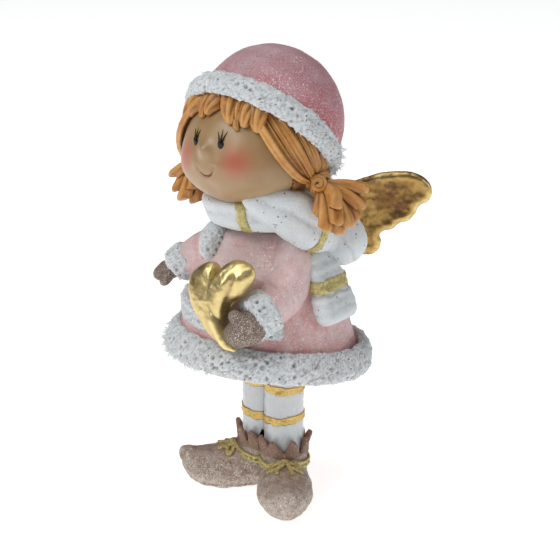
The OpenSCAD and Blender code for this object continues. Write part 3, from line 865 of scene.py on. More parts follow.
fringe = bmesh.new()
for i, angle in enumerate((-154, -142, -130, -118, -106, -95, -84, -74, -65, -57)):
    start = brim_point(angle, -1.0)
    down = (10.4, 9.4, 10.2, 9.0, 10.2, 9.2, 10.6, 9.0, 9.8, 9.6)[i]
    swing = (-1.8, -0.2, 1.4, -1.2, 1.2, -1.4, 1.6, -0.4, -2.2, -1.6)[i]
    end = over_scalp(start + Vector((swing, 0, -down)), 0.4)
    line = comb(start, end, lambda t: 1.25 - 0.1 * t, 0, 0, 12)
    gather(fringe, ridged("lock", line, round_ends(12, (2.7, 2.1, 2.5)[i % 3], 0.15, 0.8, 0.62), 6, 0.11,
                          0.9))
curl = [on_face(31 + 3.2 * math.cos(a), 112.6 + 1.7 * math.sin(a), 0.8)
        for a in (0.2, 1.0, 1.9, 2.8, 3.7, 4.6)]
gather(fringe, ridged("curl", flow(curl, 3), round_ends(16, 1.1, 0.2, 0.5), 4, 0.1))
refine(fringe)
fringe.transform(TIP)
paint_hair(link("fringe_locks", fringe), "fringe", lambda p: deep_in_hair(p) * 0.6)

# %% Hair: ties and pigtails
# A lock is wound three times round the bundle and ends in a small curl; below it the locks spread like a
# fan, each a fat ridged petal with a rounded end.
LOCKS = [((28.2, -5.6, 90.2), 1.8), ((27.6, -5.2, 86.2), 2.0), ((24.6, -6.2, 84.6), 2.0),
         ((24.6, -1.6, 82.8), 2.1),
         ((27.2, -0.6, 84.6), 2.0), ((26.2, 3.2, 85.2), 2.0), ((28.2, 3.4, 88.6), 1.9),
         ((28.4, 4.6, 92.4), 1.7),
         ((22.0, -5.4, 87.6), 1.7)]

FAR_SHIFT = Matrix.Translation((-1.6, -1.0, 2.2))


def pigtail():
    bm = bmesh.new()
    root = TIE + Vector((1.6, 0.2, -1.2))
    for i, (end, size) in enumerate(LOCKS):
        end = Vector(end)
        out = (end - root).normalized()
        sway = out.cross(Vector((0, 0, 1))) * random.uniform(-0.8, 0.8)
        belly = root.lerp(end, 0.55) + sway + Vector((0.5, 0, 0.6))
        line = flow([root, belly, end, end + out * size * 0.5 + Vector((-0.5, 0, -0.4))])
        gather(bm, ridged("lock", line, round_ends(len(line), size, 0.12, 0.22), 4, 0.09, 1.2))
    return bm


def tie():
    bm = bmesh.new()
    lean = Matrix.Translation(TIE) @ turn("Y", 118) @ turn("X", 8)
    for k in range(3):
        line = []
        for i in range(29):
            a = math.tau * i / 28
            line.append(lean @ Vector(((2.5 + 0.25 * math.sin(a * 2 + k)) * math.cos(a),
                                       (2.7 - 0.15 * k) * math.sin(a),
                                       -1.5 + 1.35 * k + 0.3 * math.sin(a + k))))
        gather(bm, ridged("wrap", line, [0.95] * 29, 4, 0.13, 0.6))
    knob = TIE + Vector((2.7, -2.9, 0.3))
    ahead = Vector((0.62, -0.7, 0.35)).normalized()
    side = ahead.orthogonal().normalized()
    up = ahead.cross(side)
    line = []
    for i in range(30):
        t = i / 29
        a, r = 11.5 * t, 0.4 + 1.5 * t
        line.append(knob + side * (r * math.cos(a)) + up * (r * math.sin(a)) + ahead * (0.9 - 1.3 * t))
    gather(bm, ridged("curl", line, [0.55 + 0.3 * (i / 29) for i in range(30)], 3, 0.08))
    lump(bm, knob - ahead * 0.9, 1.6)
    return bm


for side, word in SIDES:
    root = TIP @ Vector((side * (TIE.x + 3.4), TIE.y, TIE.z - 4.4))
    for name, shape, node, deep in (
            ("pigtail_locks", pigtail, "pigtail",
             lambda p: 0.75 - (p - root).length / 5.5 + 0.35 * noise.noise(p * 0.7)),
            ("hair_tie", tie, "bobble", lambda p: 0.25 * noise.noise(p * 0.9))):
        bm = shape()
        refine(bm)
        if side < 0:
            mirror(bm)
        bm.transform(TIP)
        if side < 0:
            bm.transform(FAR_SHIFT)
        paint_hair(link(f"{word}_{name}", bm), f"{word}_{node}", deep, 2.0, 2.2, 7.0)

# %% [markdown]
# ## Hat
# The hat is a round cap with a rolled edge of fur paste. Fur paste is dabbed on thick and pulled up with a
# stiff brush, so it is a mass of small peaks and pits. The band is turned as a ring and then carved.

# %% Hat crown
crown = bmesh.new()
bmesh.ops.create_icosphere(crown, subdivisions=7, radius=HAT_R - 0.05, matrix=Matrix.Translation(HAT))
cut(crown, HAT_FRAME, -1, clear_inner=True)
bmesh.ops.holes_fill(crown, edges=[e for e in crown.edges if e.is_boundary])
bmesh.ops.recalc_face_normals(crown, faces=crown.faces)
crown = link("hat_crown_cast", crown)
hat_axis = (HAT_FRAME.to_3x3() @ Vector((0, 0, 1))).normalized()
sculpt(crown, lambda p, n: bumps(p, (0.16, 0.22), (0.05, 0.9)) - 0.1
       - 1.3 * hump(n, (-0.55, -0.55, 0.63), 0.45))
paint(crown, "deep", lambda p: 1.15 - (p - HAT_FRAME.translation).dot(hat_axis) / 8.5
      + 0.5 * noise.noise(p * 0.25))
# Painted highlight: the crown is painted paler towards its top, a little towards the key light.
paint(crown, "frost_and_highlight", lambda p: (p - HAT).dot(Vector((-0.1, -0.1, 0.95))) / HAT_R - 0.35
      + 0.35 * noise.noise(p * 0.2))
relief(crown, 4, 3.0)
place(crown, HAT_PAINT, ("hat_crown",), "dusty_rose_glitter")


# %% Fur paste
def fur(p, size=1.0):
    """Height of the paste: clots, finer tufts and a few deep pits."""
    gaps, seeds = noise.voronoi(p * 0.5 / size)
    pit = crease(gaps[0], 0.27) if noise.cell(seeds[0] * 7.3) > 0.1 else 0.0
    tufts = noise.turbulence(p * 0.9 / size, 3, True)
    clots, grain = noise.noise(p * 0.42 / size), noise.noise(p * 2.1 / size)
    return 0.35 * clots + 0.5 * (tufts - 0.75) + 0.14 * grain - 1.1 * pit


def wisps(bm, where, count, length, spread=0.5):
    """Loose fibres of paste: thin bent cones on the part of the surface that where() picks."""
    places = [(v.co.copy(), v.normal.copy()) for v in bm.verts if where(v)]
    for _ in range(count):
        at, out = random.choice(places)
        lean = (out + Vector([random.uniform(-1, 1) for _ in range(3)]) * spread
                + Vector((0, 0, -0.15))).normalized()
        long = random.uniform(0.5, 1) * length
        turned = lean.to_track_quat("Z", "Y").to_matrix().to_4x4()
        shape = Matrix.Translation(at + lean * long * 0.35) @ turned
        bmesh.ops.create_cone(bm, cap_ends=True, segments=4, radius1=0.16, radius2=0.03, depth=long,
                              matrix=shape)


def paste_on(piece, node, contrast=4.5):
    """Grey in the pits of the fur, white on its tufts."""
    relief(piece, 3, contrast)
    return place(piece, FUR_PASTE, (node,), "snow_fur")


def fur_ring(name, r, thick, high, lean, frame_, around, size, floor_r):
    """A rolled band of fur: an upright oval section that leans, turned round the axis of its frame."""
    section = []
    for k in range(56):
        a = math.tau * k / 56
        x, z = thick / 2 * math.cos(a), high / 2 * math.sin(a)
        c, s = math.cos(math.radians(lean)), math.sin(math.radians(lean))
        section.append((max(floor_r, r + x * c - z * s), z * c + x * s))
    piece = ring(name, section, around, frame_)
    return sculpt(piece, lambda p, n: fur(p, size))


brim = fur_ring("hat_brim_fur", 20.9, 4.0, 7.3, 8, HAT_FRAME @ Matrix.Translation((0, 0, 0.3)), 360, 1.0,
                19.2)
with opened(brim) as bm:
    wisps(bm, lambda v: (HAT_FRAME.inverted() @ v.co).y > 9 and v.normal.z < 0.6, 300, 3.0, 0.9)
    wisps(bm, lambda v: True, 260, 1.1)
paste_on(brim, "hat_brim")

# %% [markdown]
# ## Coat
# The coat is a bell that hangs in soft, shallow folds. It is turned as a ring of faces and then shaped:
# the hem is tilted up at the front, the folds run down from the chest, and a little noise makes it handmade.
# Coral shows in the folds and just above the fur, where the dry brush didn't reach. Darker coral under
# the left arm and beside the collar tab is painted shade; paler patches on the chest and her right front
# are painted highlight.

# %% Coat bell
HEM_R, SHOULDER_R, BELL_LOW, BELL_HIGH = 26.5, 14.0, 36.0, 77.0
COAT_LOW, COAT_TOP = 40.5, 80.4


def coat_r(z):
    t = max(0.0, (z - BELL_LOW) / (BELL_HIGH - BELL_LOW))
    return HEM_R + 0.8 - (HEM_R + 0.8 - SHOULDER_R) * t ** 1.5


rows = 110
section = [(1.0 + 0.001 * i, i / rows) for i in range(rows + 1)]
section += [(0.9 - 0.08 * i, 1.0 + 0.0001 * i) for i in range(11)] + [(0.012, 1.002)]
section += [(0.012, -0.002)] + [(0.08 * i, -0.001) for i in range(1, 12)]
coat = ring("coat_cast", section, 300)
lean = math.sin(math.radians(HEM_LEAN))
for v in coat.data.vertices:
    x, y, s = v.co
    a, flat = math.atan2(y, x), math.hypot(x, y)
    if s > 1:
        r, z = SHOULDER_R * min(flat, 1) * 0.93, COAT_TOP + 0.8 * (1 - min(flat, 1) ** 2)
    elif s < 0:
        r = HEM_R * 0.93 * min(flat, 1)
        z = 42.0 - r * math.sin(a) * lean + 0.4
    else:
        z = COAT_LOW + (COAT_TOP - COAT_LOW) * s
        r = coat_r(z)
        if z > BELL_HIGH:
            r = SHOULDER_R - 2.4 * ((z - BELL_HIGH) / (COAT_TOP - BELL_HIGH)) ** 2 - 0.4
        z -= r * math.sin(a) * lean * (1 - s) ** 0.8
        fold = math.sin(5 * a + 1.3) * 0.5 + math.sin(9 * a + 0.5) * 0.28
        r += fold * (1 - s) ** 1.3 * 0.9 - 0.5 * (1 - s)
    v.co = (r * math.cos(a), r * math.sin(a), z)
coat.data.update()
with opened(coat) as bm:
    weld(bm, 0.02)
sculpt(coat, lambda p, n: bumps(p, (0.3, 0.13), (0.1, 0.6), (0.05, 1.7)))
hem_up = (HEM.to_3x3() @ Vector((0, 0, 1))).normalized()
# Deeper coral in a band just above the hem fur is paint; the patches under the left arm and beside the collar
# tab are painted shade.
paint(coat, "deep", lambda p: max(1.1 - ((p - HEM.translation).dot(hem_up) - 8.2) / 2.6,
                                  1.2 * hump(p, (17, -6.5, 60), 5.5), 1.2 * hump(p, (16, -9, 55), 4.5),
                                  0.9 * hump(p, (10, -15, 76), 4)) + 0.35 * noise.noise(p * 0.35))
# Painted highlight: paler patches on the chest and on the front of her right side, towards the key light,
# with random pale patches from the noise.
paint(coat, "frost_and_highlight", lambda p: 0.75 * hump(p, (4, -14, 72), 8) + 0.6 * hump(p, (-12, -16, 56), 9)
      + 0.5 * noise.noise(p * 0.2))
relief(coat, 6, 3.5)
place(coat, COAT_PAINT, ("coat",), "rose_glitter")

# %% Fur on the hem, the jacket front and the collar
HEM_FLOOR = 24.6
hem = fur_ring("hem_fur_cast", HEM_R + 0.55, 4.4, 8.9, 14, HEM @ Matrix.Translation((0, 0, 3.6)), 460, 0.95,
               HEM_FLOOR)


def outer(v):
    return math.hypot(v.co.x, v.co.y) > HEM_R


with opened(hem) as bm:
    wisps(bm, lambda v: v.normal.z < 0.3 and v.co.x < 6 and v.co.y < 4 and outer(v), 420, 2.3)
    wisps(bm, outer, 420, 1.0)
paste_on(hem, "hem_fur")

front_z = middle("front_fur").z - 4.6
patch = bmesh.new()
for i in range(34):
    a = math.radians(-150 + 112 * i / 33)
    r = coat_r(front_z) + 0.7
    for rise in (-1.5, 0, 1.5):
        lump(patch, (r * math.cos(a), r * math.sin(a), front_z + rise), (1.6, 1.6, 1.8), fine=2)
patch = cast("front_fur_cast", patch, 0.34, 3)
sculpt(patch, lambda p, n: fur(p, 0.8) * 1.3)
paste_on(patch, "front_fur", 4.0)

tab_at = middle("collar_tab")
tab = bmesh.new()
out = Vector((tab_at.x, tab_at.y, 0)).normalized()
swell(tab, [(*(out * 14.9 + Vector((0, 0, 79.0))), 2.8), (*(out * 15.6 + Vector((0, 0, 76.4))), 3.5),
            (*(out * 16.2 + Vector((0, 0, 74.0))), 3.0)])
tab = cast("collar_tab_cast", tab, 0.3, 3)
sculpt(tab, lambda p, n: 0.4 + 0.7 * fur(p, 0.8))
paste_on(tab, "collar_tab", 4.0)

# %% [markdown]
# ## Arms
# Each sleeve is a sausage of clay from the shoulder to the wrist, creased at the elbow. A lumpy fur cuff
# closes it, and a mitten with its thumb comes out. The left hand holds the heart.

# %% Sleeves, cuffs and mittens
LEFT_ARM = [(10.6, -2.5, 76.3, 5.4), (13.4, -4.6, 71.8, 5.9), (14.8, -7.6, 67.2, 6.0),
            (15.6, -12.4, 64.2, 5.7), (15.4, -17.2, 62.8, 5.2)]
RIGHT_ARM = [(-10.8, -1.5, 76.3, 5.4), (-15.5, -3.2, 72, 5.8), (-19.5, -6, 68.6, 5.6),
             (-22.8, -8.4, 66.2, 5), (-24.4, -9.6, 65.2, 4.6)]


def sleeve(name, arm, creases, node):
    bm = bmesh.new()
    swell(bm, arm)
    piece = cast(name, bm, 0.4, 6)
    fold = [(Vector(at), Vector(way).normalized()) for at, way in creases]

    def push(p, n):
        lines = sum(crease((p - at).dot(way), 0.55) * hump(p, at, 4.2) for at, way in fold)
        return bumps(p, (0.22, 0.2), (0.08, 0.9)) - 0.5 * lines
    sculpt(piece, push)
    paint(piece, "deep", lambda p: sum(0.8 * crease((p - at).dot(way), 0.9) * hump(p, at, 3.8)
                                       for at, way in fold) + 0.5 * noise.noise(p * 0.3) - 0.1)
    paint(piece, "frost_and_highlight", lambda p: 0.45 + 0.7 * noise.noise(p * 0.22))
    relief(piece, 5, 3.5)
    return place(piece, COAT_PAINT, (node,), "rose_glitter")


sleeve("left_sleeve_cast", LEFT_ARM, [((14.5, -13, 67.5), (0.2, 1, 0.5)),
                                      ((19.5, -10.5, 62), (-0.2, 1, 0.25)),
                                      ((12.4, -9, 73), (0.6, 0.5, -1))], "left_sleeve")
sleeve("right_sleeve_cast", RIGHT_ARM, [((-19, -9.5, 73), (1, 0.4, 0.4)), ((-16, -9, 71), (1, 0.5, 0.2))],
       "right_sleeve")


def cuff(name, node, size, wrist, hand):
    wrist, hand = Vector(wrist), Vector(hand)
    along = (hand - wrist).normalized()
    side = along.orthogonal().normalized()
    up = along.cross(side)
    bm = bmesh.new()
    centre = wrist + along * 1.2
    for i in range(26):
        a = math.tau * i / 26
        off = side * math.cos(a) + up * math.sin(a)
        for shift in (-1.5, 0.2, 1.9):
            lump(bm, centre + off * (size - 1.9) + along * shift, 1.95, fine=2)
    lump(bm, centre, size - 1.6)
    piece = cast(name, bm, 0.34, 3)
    sculpt(piece, lambda p, n: fur(p, 1.1) * 1.05)
    return paste_on(piece, node)


cuff("left_cuff_cast", "left_cuff", 6.5, (15.8, -16.8, 63), (13.6, -24, 59.6))
cuff("right_cuff_cast", "right_cuff", 5.4, (-23.6, -9.0, 66.4), (-27.0, -12, 62))


def mitten(name, node, palm, thumb):
    bm = bmesh.new()
    swell(bm, palm)
    swell(bm, thumb, 6)
    piece = cast(name, bm, 0.3, 6)
    sculpt(piece, lambda p, n: bumps(p, (0.22, 0.5), (0.07, 1.6)))
    relief(piece, 5, 4.0)
    return place(piece, MITTEN_PAINT, (node,), "taupe_glitter")


mitten("left_mitten_cast", "left_mitten", [(16.1, -20, 61.3, 3.8), (15.9, -22.6, 59.9, 4.5),
                                           (14.4, -24.4, 58.6, 4.1), (13.0, -25.2, 57.6, 3.4)],
       [(15.4, -23.4, 61, 2.8), (14.6, -25.0, 62.2, 2.2), (13.4, -26.0, 63.4, 1.7)])
mitten("right_mitten_cast", "right_mitten", [(-25.6, -10.8, 64, 3.0), (-27.2, -12.2, 63, 3.0),
                                             (-28.9, -13.6, 61.9, 2.4), (-29.4, -14.2, 61.4, 1.9)],
       [(-26.6, -13.2, 62.2, 2.1), (-26.0, -15, 61, 1.8), (-25.2, -16, 60.6, 1.3)])

# %% [markdown]
# ## Heart
# The heart is a thick puffed shape with gold leaf pressed on. Its front has a broad flat facet on one side
# and a rounded ridge that runs down to the point, and the leaf is brightest on the rolled rims. A ball is
# drawn out into the outline of a heart, which keeps the faces even and the shape closed.

# %% Heart
HEART_EDGE = [(-0.6, 7.6), (-1.2, 10.4), (-3.2, 11.3), (-6.5, 10.2), (-9.2, 7.8), (-10.2, 4.9), (-9.8, 1.7),
              (-8.4, -2.0), (-6.1, -5.7),
              (-4.3, -8.9), (-2.1, -10.9), (0.4, -12.3), (1.3, -11.2), (1.1, -9.3), (0.6, -6.9), (0.4, -4.4),
              (1.8, -2.0), (4.2, 0.7),
              (6.8, 2.4), (9.1, 5.3), (10.5, 8.2), (9.1, 10.6), (5.6, 11.8), (2.6, 11.1), (0.7, 9.4)]
HEART_MID = (-3, 2)


def heart_outline():
    """Distance of a heart's edge from its middle, for each direction."""
    edge = []
    for x, z in flow(HEART_EDGE[-2:] + HEART_EDGE + HEART_EDGE[:3], 40)[80:-80]:
        x, z = x - HEART_MID[0], z - HEART_MID[1]
        edge.append((math.atan2(z, x) % math.tau, math.hypot(x, z)))
    edge.sort()
    angles, reach = zip(*edge)
    return lambda a: float(np.interp(a % math.tau, angles, reach, period=math.tau))


reach_of = heart_outline()
heart = bmesh.new()
bmesh.ops.create_icosphere(heart, subdivisions=7, radius=1)
for v in heart.verts:
    x, y, z = v.co
    flat = min(1.0, math.hypot(x, z))
    a = math.atan2(z, x)
    edge = reach_of(a)
    thick = 4.0 * max(0.0, 1 - flat ** 2.6) ** 0.5
    px, pz = HEART_MID[0] + edge * flat * math.cos(a), HEART_MID[1] + edge * flat * math.sin(a)
    thick *= 0.5 + 0.5 * min(1.0, (pz + 13) / 14)
    bend = 0.062 * min(0.0, pz + 4) ** 2
    v.co = (px + bend, (thick if y > 0 else -thick) - 0.25 * bend, pz)
HEART_PLACE = Matrix.Translation((7.6, -25.0, 65)) @ turn("Z", 14) @ turn("Y", -9) @ turn("X", -14)


def heart_form(p, n):
    if n.y > 0.3:
        return 0.1 * noise.noise(p * 0.4)
    crest = 2.8 + (p.z - 6.1) * 0.324 if p.z > -4.4 else -0.6 - (p.z + 4.4) * 0.35
    top = 1 if p.z < 5 else crease(p.z - 5, 2.5)
    ridge = crease(p.x - crest, 1.5) * top
    groove = crease(p.x - crest - 2.3, 0.9) * top * min(1.0, max(0.0, (p.z + 5) / 4))
    return (0.8 * ridge - 0.7 * groove - 0.8 * hump(p, (-4.4, -4, 4.6), 2.6)
            + 0.4 * hump(p, (7.2, -4, 6.4), 1.8)
            + 0.16 * noise.noise(p * 0.33) + 0.07 * noise.noise(p * 0.9) + 0.03 * noise.noise(p * 2.2))


heart = link("gilded_heart", heart)
with opened(heart) as bm:
    weld(bm, 0.01)
sculpt(heart, heart_form)
with opened(heart) as bm:
    for _ in range(3):
        bmesh.ops.smooth_vert(bm, verts=bm.verts, factor=0.5, use_axis_x=True, use_axis_y=True,
                              use_axis_z=True)
relief(heart, 10, 5.0)
heart.data.transform(HEART_PLACE)
place(heart, HEART_GOLD, ("heart",), "gold_leaf")

# %% [markdown]
# ## Scarf
# The scarf goes round the neck, over the shoulder band and into a bunched fold behind the arm, and its end
# hangs down. It is painted matt white. The gold stripes are glitter glue, brushed on across the cloth:
# each is a strip of the scarf's own surface, thickened a little and left rough.

# %% Scarf pieces
SCARF_Y, SCARF_Z = -1.2, 86.7
section = [(11.4 + 5.7 * math.cos(math.tau * k / 64), SCARF_Z + 5.1 * math.sin(math.tau * k / 64))
           for k in range(64)]
neck_wrap = ring("scarf_neck_cast", section, 320, Matrix.Translation((0, SCARF_Y, 0)))


def wrap_form(p, n):
    a = math.atan2(p.y - SCARF_Y, p.x)
    h = p.z - SCARF_Z
    fold = crease(h - 1.2 * math.sin(a * 1.5 + 0.6), 0.6) * (0.5 + 0.5 * math.sin(2 * a + 1.9))
    return (0.3 * math.sin(h * 1.1 + 1.7 * math.sin(1.5 * a)) - 0.35 * fold + 0.25 * noise.noise(p * 0.22)
            + 0.07 * noise.noise(p * 1.3))


sculpt(neck_wrap, wrap_form)
relief(neck_wrap, 5, 3.5)


def cloth(piece, height, fineness, groove):
    """Soft cloth: slow waves, a fine grain and one groove."""
    sculpt(piece, lambda p, n: bumps(p, (height, fineness), (0.07, 1.3)) - groove(p))
    return relief(piece, 5, 3.5)


band = bmesh.new()
swell(band, [(8.2, -14.2, 92.0, 2.8), (10.4, -12.4, 90.2, 4.0), (13.6, -8.4, 87.2, 4.9),
             (15.9, -2.8, 82.6, 5.0), (15.8, 2, 79.8, 4.8),
             (14.4, 8, 78.8, 4.6)])
swell(band, [(10.6, -13.0, 92.4, 2.6), (13.6, -9.8, 92.0, 3.7), (16.4, -5.2, 89.8, 4.2),
             (17.2, -0.8, 86.4, 4.5), (16.4, 4, 83, 4.4)])
band = cast("scarf_shoulder_cast", band, 0.38, 8)
ridge = flow([(10.4, -14.6, 91), (14.6, -10.6, 88.6), (18, -4.4, 84.6), (19, 1.5, 81.6)])
cloth(band, 0.25, 0.25, lambda p: 0.35 * crease(near_line(p, ridge), 0.7))

ball = bmesh.new()
lump(ball, (16.6, 12.4, 76.4), (6.7, 6.7, 7.1), fine=6)
lump(ball, (15, 7.6, 78.6), (5.4, 4.4, 5.2), fine=5)
ball = cast("scarf_fold_cast", ball, 0.38, 8)
tuck = flow([(21.5, 7.6, 78.5), (22.2, 10.4, 74), (20.4, 12.6, 70.6)])
cloth(ball, 0.3, 0.2, lambda p: 0.4 * crease(near_line(p, tuck), 0.8))

tail = bmesh.new()
TAIL = turn("Z", 8)
for z, wide, thick, out in ((72.5, 3.6, 2.7, 0.2), (70, 4.2, 2.8, 0.4), (67.5, 4.5, 2.8, 0.6),
                            (65.4, 4.5, 2.6, 0.7), (63, 5.0, 2.9, 0.9),
                            (60.8, 5.2, 3.1, 0.9), (59, 5.0, 3.0, 0.9)):
    for k in range(-4, 5):
        at = TAIL @ Vector((coat_r(z) + out, 0.8 + 1.12 * wide * k / 4 * 0.86, z))
        lump(tail, at, (thick, thick, 2.9), fine=3)
tail = cast("scarf_tail_cast", tail, 0.38, 8)
cloth(tail, 0.3, 0.22, lambda p: 0.45 * crease(p.z - 64.9 + 0.3 * math.sin(p.y), 0.55))


# %% Gold stripes on the scarf and the stockings
def gild(name, source, inside, lift, rough):
    """A strip of glue on a piece: the faces inside the strip, thickened, lifted and roughened."""
    bm = bmesh.new()
    bm.from_mesh(source.data)
    gone = [f for f in bm.faces if not inside(f.calc_center_median())]
    bmesh.ops.delete(bm, geom=gone, context="FACES")
    for v in bm.verts:
        v.co += v.normal * lift
    bmesh.ops.solidify(bm, geom=bm.faces[:], thickness=lift + 0.15)
    bmesh.ops.recalc_face_normals(bm, faces=bm.faces)
    piece = link(name, bm)
    sculpt(piece, lambda p, n: rough * noise.noise(p * 1.6) + rough * 0.5 * noise.noise(p * 3.2))
    return relief(piece, 2, 4.0)


def round_neck(p):
    """Turn of a point about the neck, in degrees."""
    return math.degrees(math.atan2(p.y - SCARF_Y, p.x))


STRIPES = [
    ("neck_stripe", neck_wrap, lambda p: abs(round_neck(p) + 66 + 0.9 * (p.z - SCARF_Z)
                                             + 2.2 * noise.noise(p * 0.8)) < 4.6
     and math.hypot(p.x, p.y - SCARF_Y) > 12.4),
    ("shoulder_stripe", band, lambda p: abs((p - Vector((16.4, 0.6, 80.2))).dot(Vector((0.12, 0.88, -0.47)))
                                            + 0.5 * noise.noise(p * 0.8)) < 1.6
     and p.x > 12),
    ("tail_stripe", tail, lambda p: abs(p.z - 67.0 + 0.35 * noise.noise(p * 0.8)) < 1.65 and p.x > 17),
]
for name, source, inside in STRIPES:
    place(gild(name, source, inside, 0.3, 0.22), GLUE_GOLD, ("scarf_stripes",), "gold_glitter")
for piece, node in ((neck_wrap, "scarf_neck"), (band, "scarf_shoulder"), (ball, "scarf_fold"),
                    (tail, "scarf_tail")):
    place(piece, SCARF_PAINT, (node,), "scarf_white")

# %% [markdown]
# ## Wings
# A wing is a flat casting with a thick rolled rim and a dished face, scalloped along its lower edge. Its
# outline is a smooth closed line, filled and thickened; then both faces are pressed in.

# %% Wings
OUTLINE = [(1, 3.2), (6, 9.6), (13.4, 13.4), (20, 15.9), (26, 16.7), (31, 16.2), (34.6, 13.8), (35.7, 11.0),
           (34.7, 8.3), (32.3, 7.0),
           (31.2, 4.6), (29.2, 2.6), (27.0, 1.9), (25.2, 0.3), (22.8, -0.4), (21.4, -1.4), (22.0, -3.4),
           (21.4, -5.6),
           (19.6, -7.2), (17.0, -7.4), (12, -7.2), (6, -6.2), (1.6, -3.0)]
edge_line = flow(OUTLINE + OUTLINE[:2], 8)[8:-1]
wing = bmesh.new()
loop = [wing.verts.new((p[0], -1.4, p[1])) for p in edge_line]
face = wing.faces.new(loop)
made = bmesh.ops.extrude_face_region(wing, geom=[face])
bmesh.ops.translate(wing, vec=(0, 2.8, 0), verts=[v for v in made["geom"]
                                                  if isinstance(v, bmesh.types.BMVert)])
bmesh.ops.triangulate(wing, faces=wing.faces[:])
bmesh.ops.recalc_face_normals(wing, faces=wing.faces)
wing = cast("wing", wing, 0.3, 3)
rim = np.array([(p[0], p[1]) for p in edge_line])
starts, ends = rim, np.roll(rim, -1, axis=0)


def from_rim(p):
    """Distance of a point on the wing from its outline."""
    q = np.array((p.x, p.z))
    way = ends - starts
    t = np.clip(((q - starts) * way).sum(1) / np.maximum((way ** 2).sum(1), 1e-9), 0, 1)
    return float(np.sqrt((((starts + way * t[:, None]) - q) ** 2).sum(1).min()))


def wing_form(v):
    d = from_rim(v)
    rounded = math.sqrt(max(0.0, 1 - (max(0.0, 1.35 - d) / 1.35) ** 2))
    root = max(0.0, min(1.0, (v.x - 12) / 12))
    tip = max(0.0, min(1.0, (v.x - 18) / 10))
    t = max(0.0, min(1.0, (d - 1.5) / 2.6))
    dish = t * t * (3 - 2 * t) * (0.35 + 0.5 * tip)
    ribs = 0.10 * math.sin(v.x * 0.9 + v.z * 0.3) * t
    half = (1.15 + 0.35 * tip) * rounded - dish * 0.8 + ribs
    return max(0.1, half) * (0.9 + 0.1 * root)


for v in wing.data.vertices:
    v.co.y = math.copysign(wing_form(v.co), v.co.y) * min(1.0, abs(v.co.y) / 0.7)
wing.data.update()
sculpt(wing, lambda p, n: bumps(p, (0.14, 0.3), (0.08, 0.9), (0.03, 2.4)))
relief(wing, 10, 4.0)
for side, word in SIDES:
    bm = bmesh.new()
    bm.from_mesh(wing.data)
    bmesh.ops.transform(bm, matrix=Matrix.Translation((4.2, 9.2, 77.3)) @ turn("Z", 44), verts=bm.verts)
    if side < 0:
        bmesh.ops.scale(bm, vec=(-1, 1, 1), verts=bm.verts)
        bmesh.ops.reverse_faces(bm, faces=bm.faces)
    place(link(f"{word}_wing_cast", bm), WING_GOLD, (f"{word}_wing",), "gold_leaf")
bpy.data.objects.remove(wing)

# %% [markdown]
# ## Legs and shoes
# The stockings are glossy white tubes with two gilded stripes each. The shoes have a rounded heel, a full
# toe box and a curled tip; a lace of gold glitter ties the ankle, and copper leaflets stand round it.

# %% Stockings
LEG_X, LEG_R, LEG_AT = 4.4, 5.7, Vector((1, 1, 0))
LEG_LOW, LEG_HIGH, SOLE_LINE = 9.5, 46.5, 1.9


def leg_place(side):
    return Matrix.Translation(LEG_AT + Vector((side * LEG_X, 0, 0)))


def keep_side(piece, side, gap=0.03):
    """Presses what crosses over to the other foot flat against the plane between them."""
    for v in piece.data.vertices:
        if (v.co.x - LEG_AT.x) * side < gap:
            v.co.x = LEG_AT.x + side * gap
    piece.data.update()


for side, word in SIDES:
    wall = [(LEG_R - 0.05, LEG_LOW + (LEG_HIGH - LEG_LOW) * i / 110) for i in range(111)]
    section = [(0.02, LEG_LOW)] + wall + [(0.02, LEG_HIGH)]
    leg = ring(f"{word}_stocking", section, 120, leg_place(side))
    sculpt(leg, lambda p, n: bumps(p, (0.09, 0.25), (0.03, 0.9)) if abs(n.z) < 0.5 else 0.0)
    keep_side(leg, side, 0.02)
    for k, z in enumerate((23.5, 34.0)):
        tilt = (0.1, -0.06)[k] * side
        stripe = gild(f"{word}_stocking_stripe_{k + 1}", leg,
                      lambda p: abs(p.z - z - tilt * (p.x - LEG_AT.x) - 0.05 * p.y
                                    + 0.45 * noise.noise(p * 0.45)) < 1.15
                      and (p.x - LEG_AT.x) * side > 0.1, 0.28, 0.16)
        place(stripe, STRIPE_GOLD, (f"{word}_stripes",), "gold_leaf")
    # Painted shade: the stocking is darker towards its top, under the coat hem, and towards its foot, by the
    # shoe.
    paint(leg, "deep", lambda p: 0.3 * max(0.0, (15.5 - p.z) / 3) + 0.7 * max(0.0, (p.z - 40) / 5))
    relief(leg, 4, 3.0)
    place(leg, STOCKING_PAINT, (f"{word}_leg",), "stocking_white")

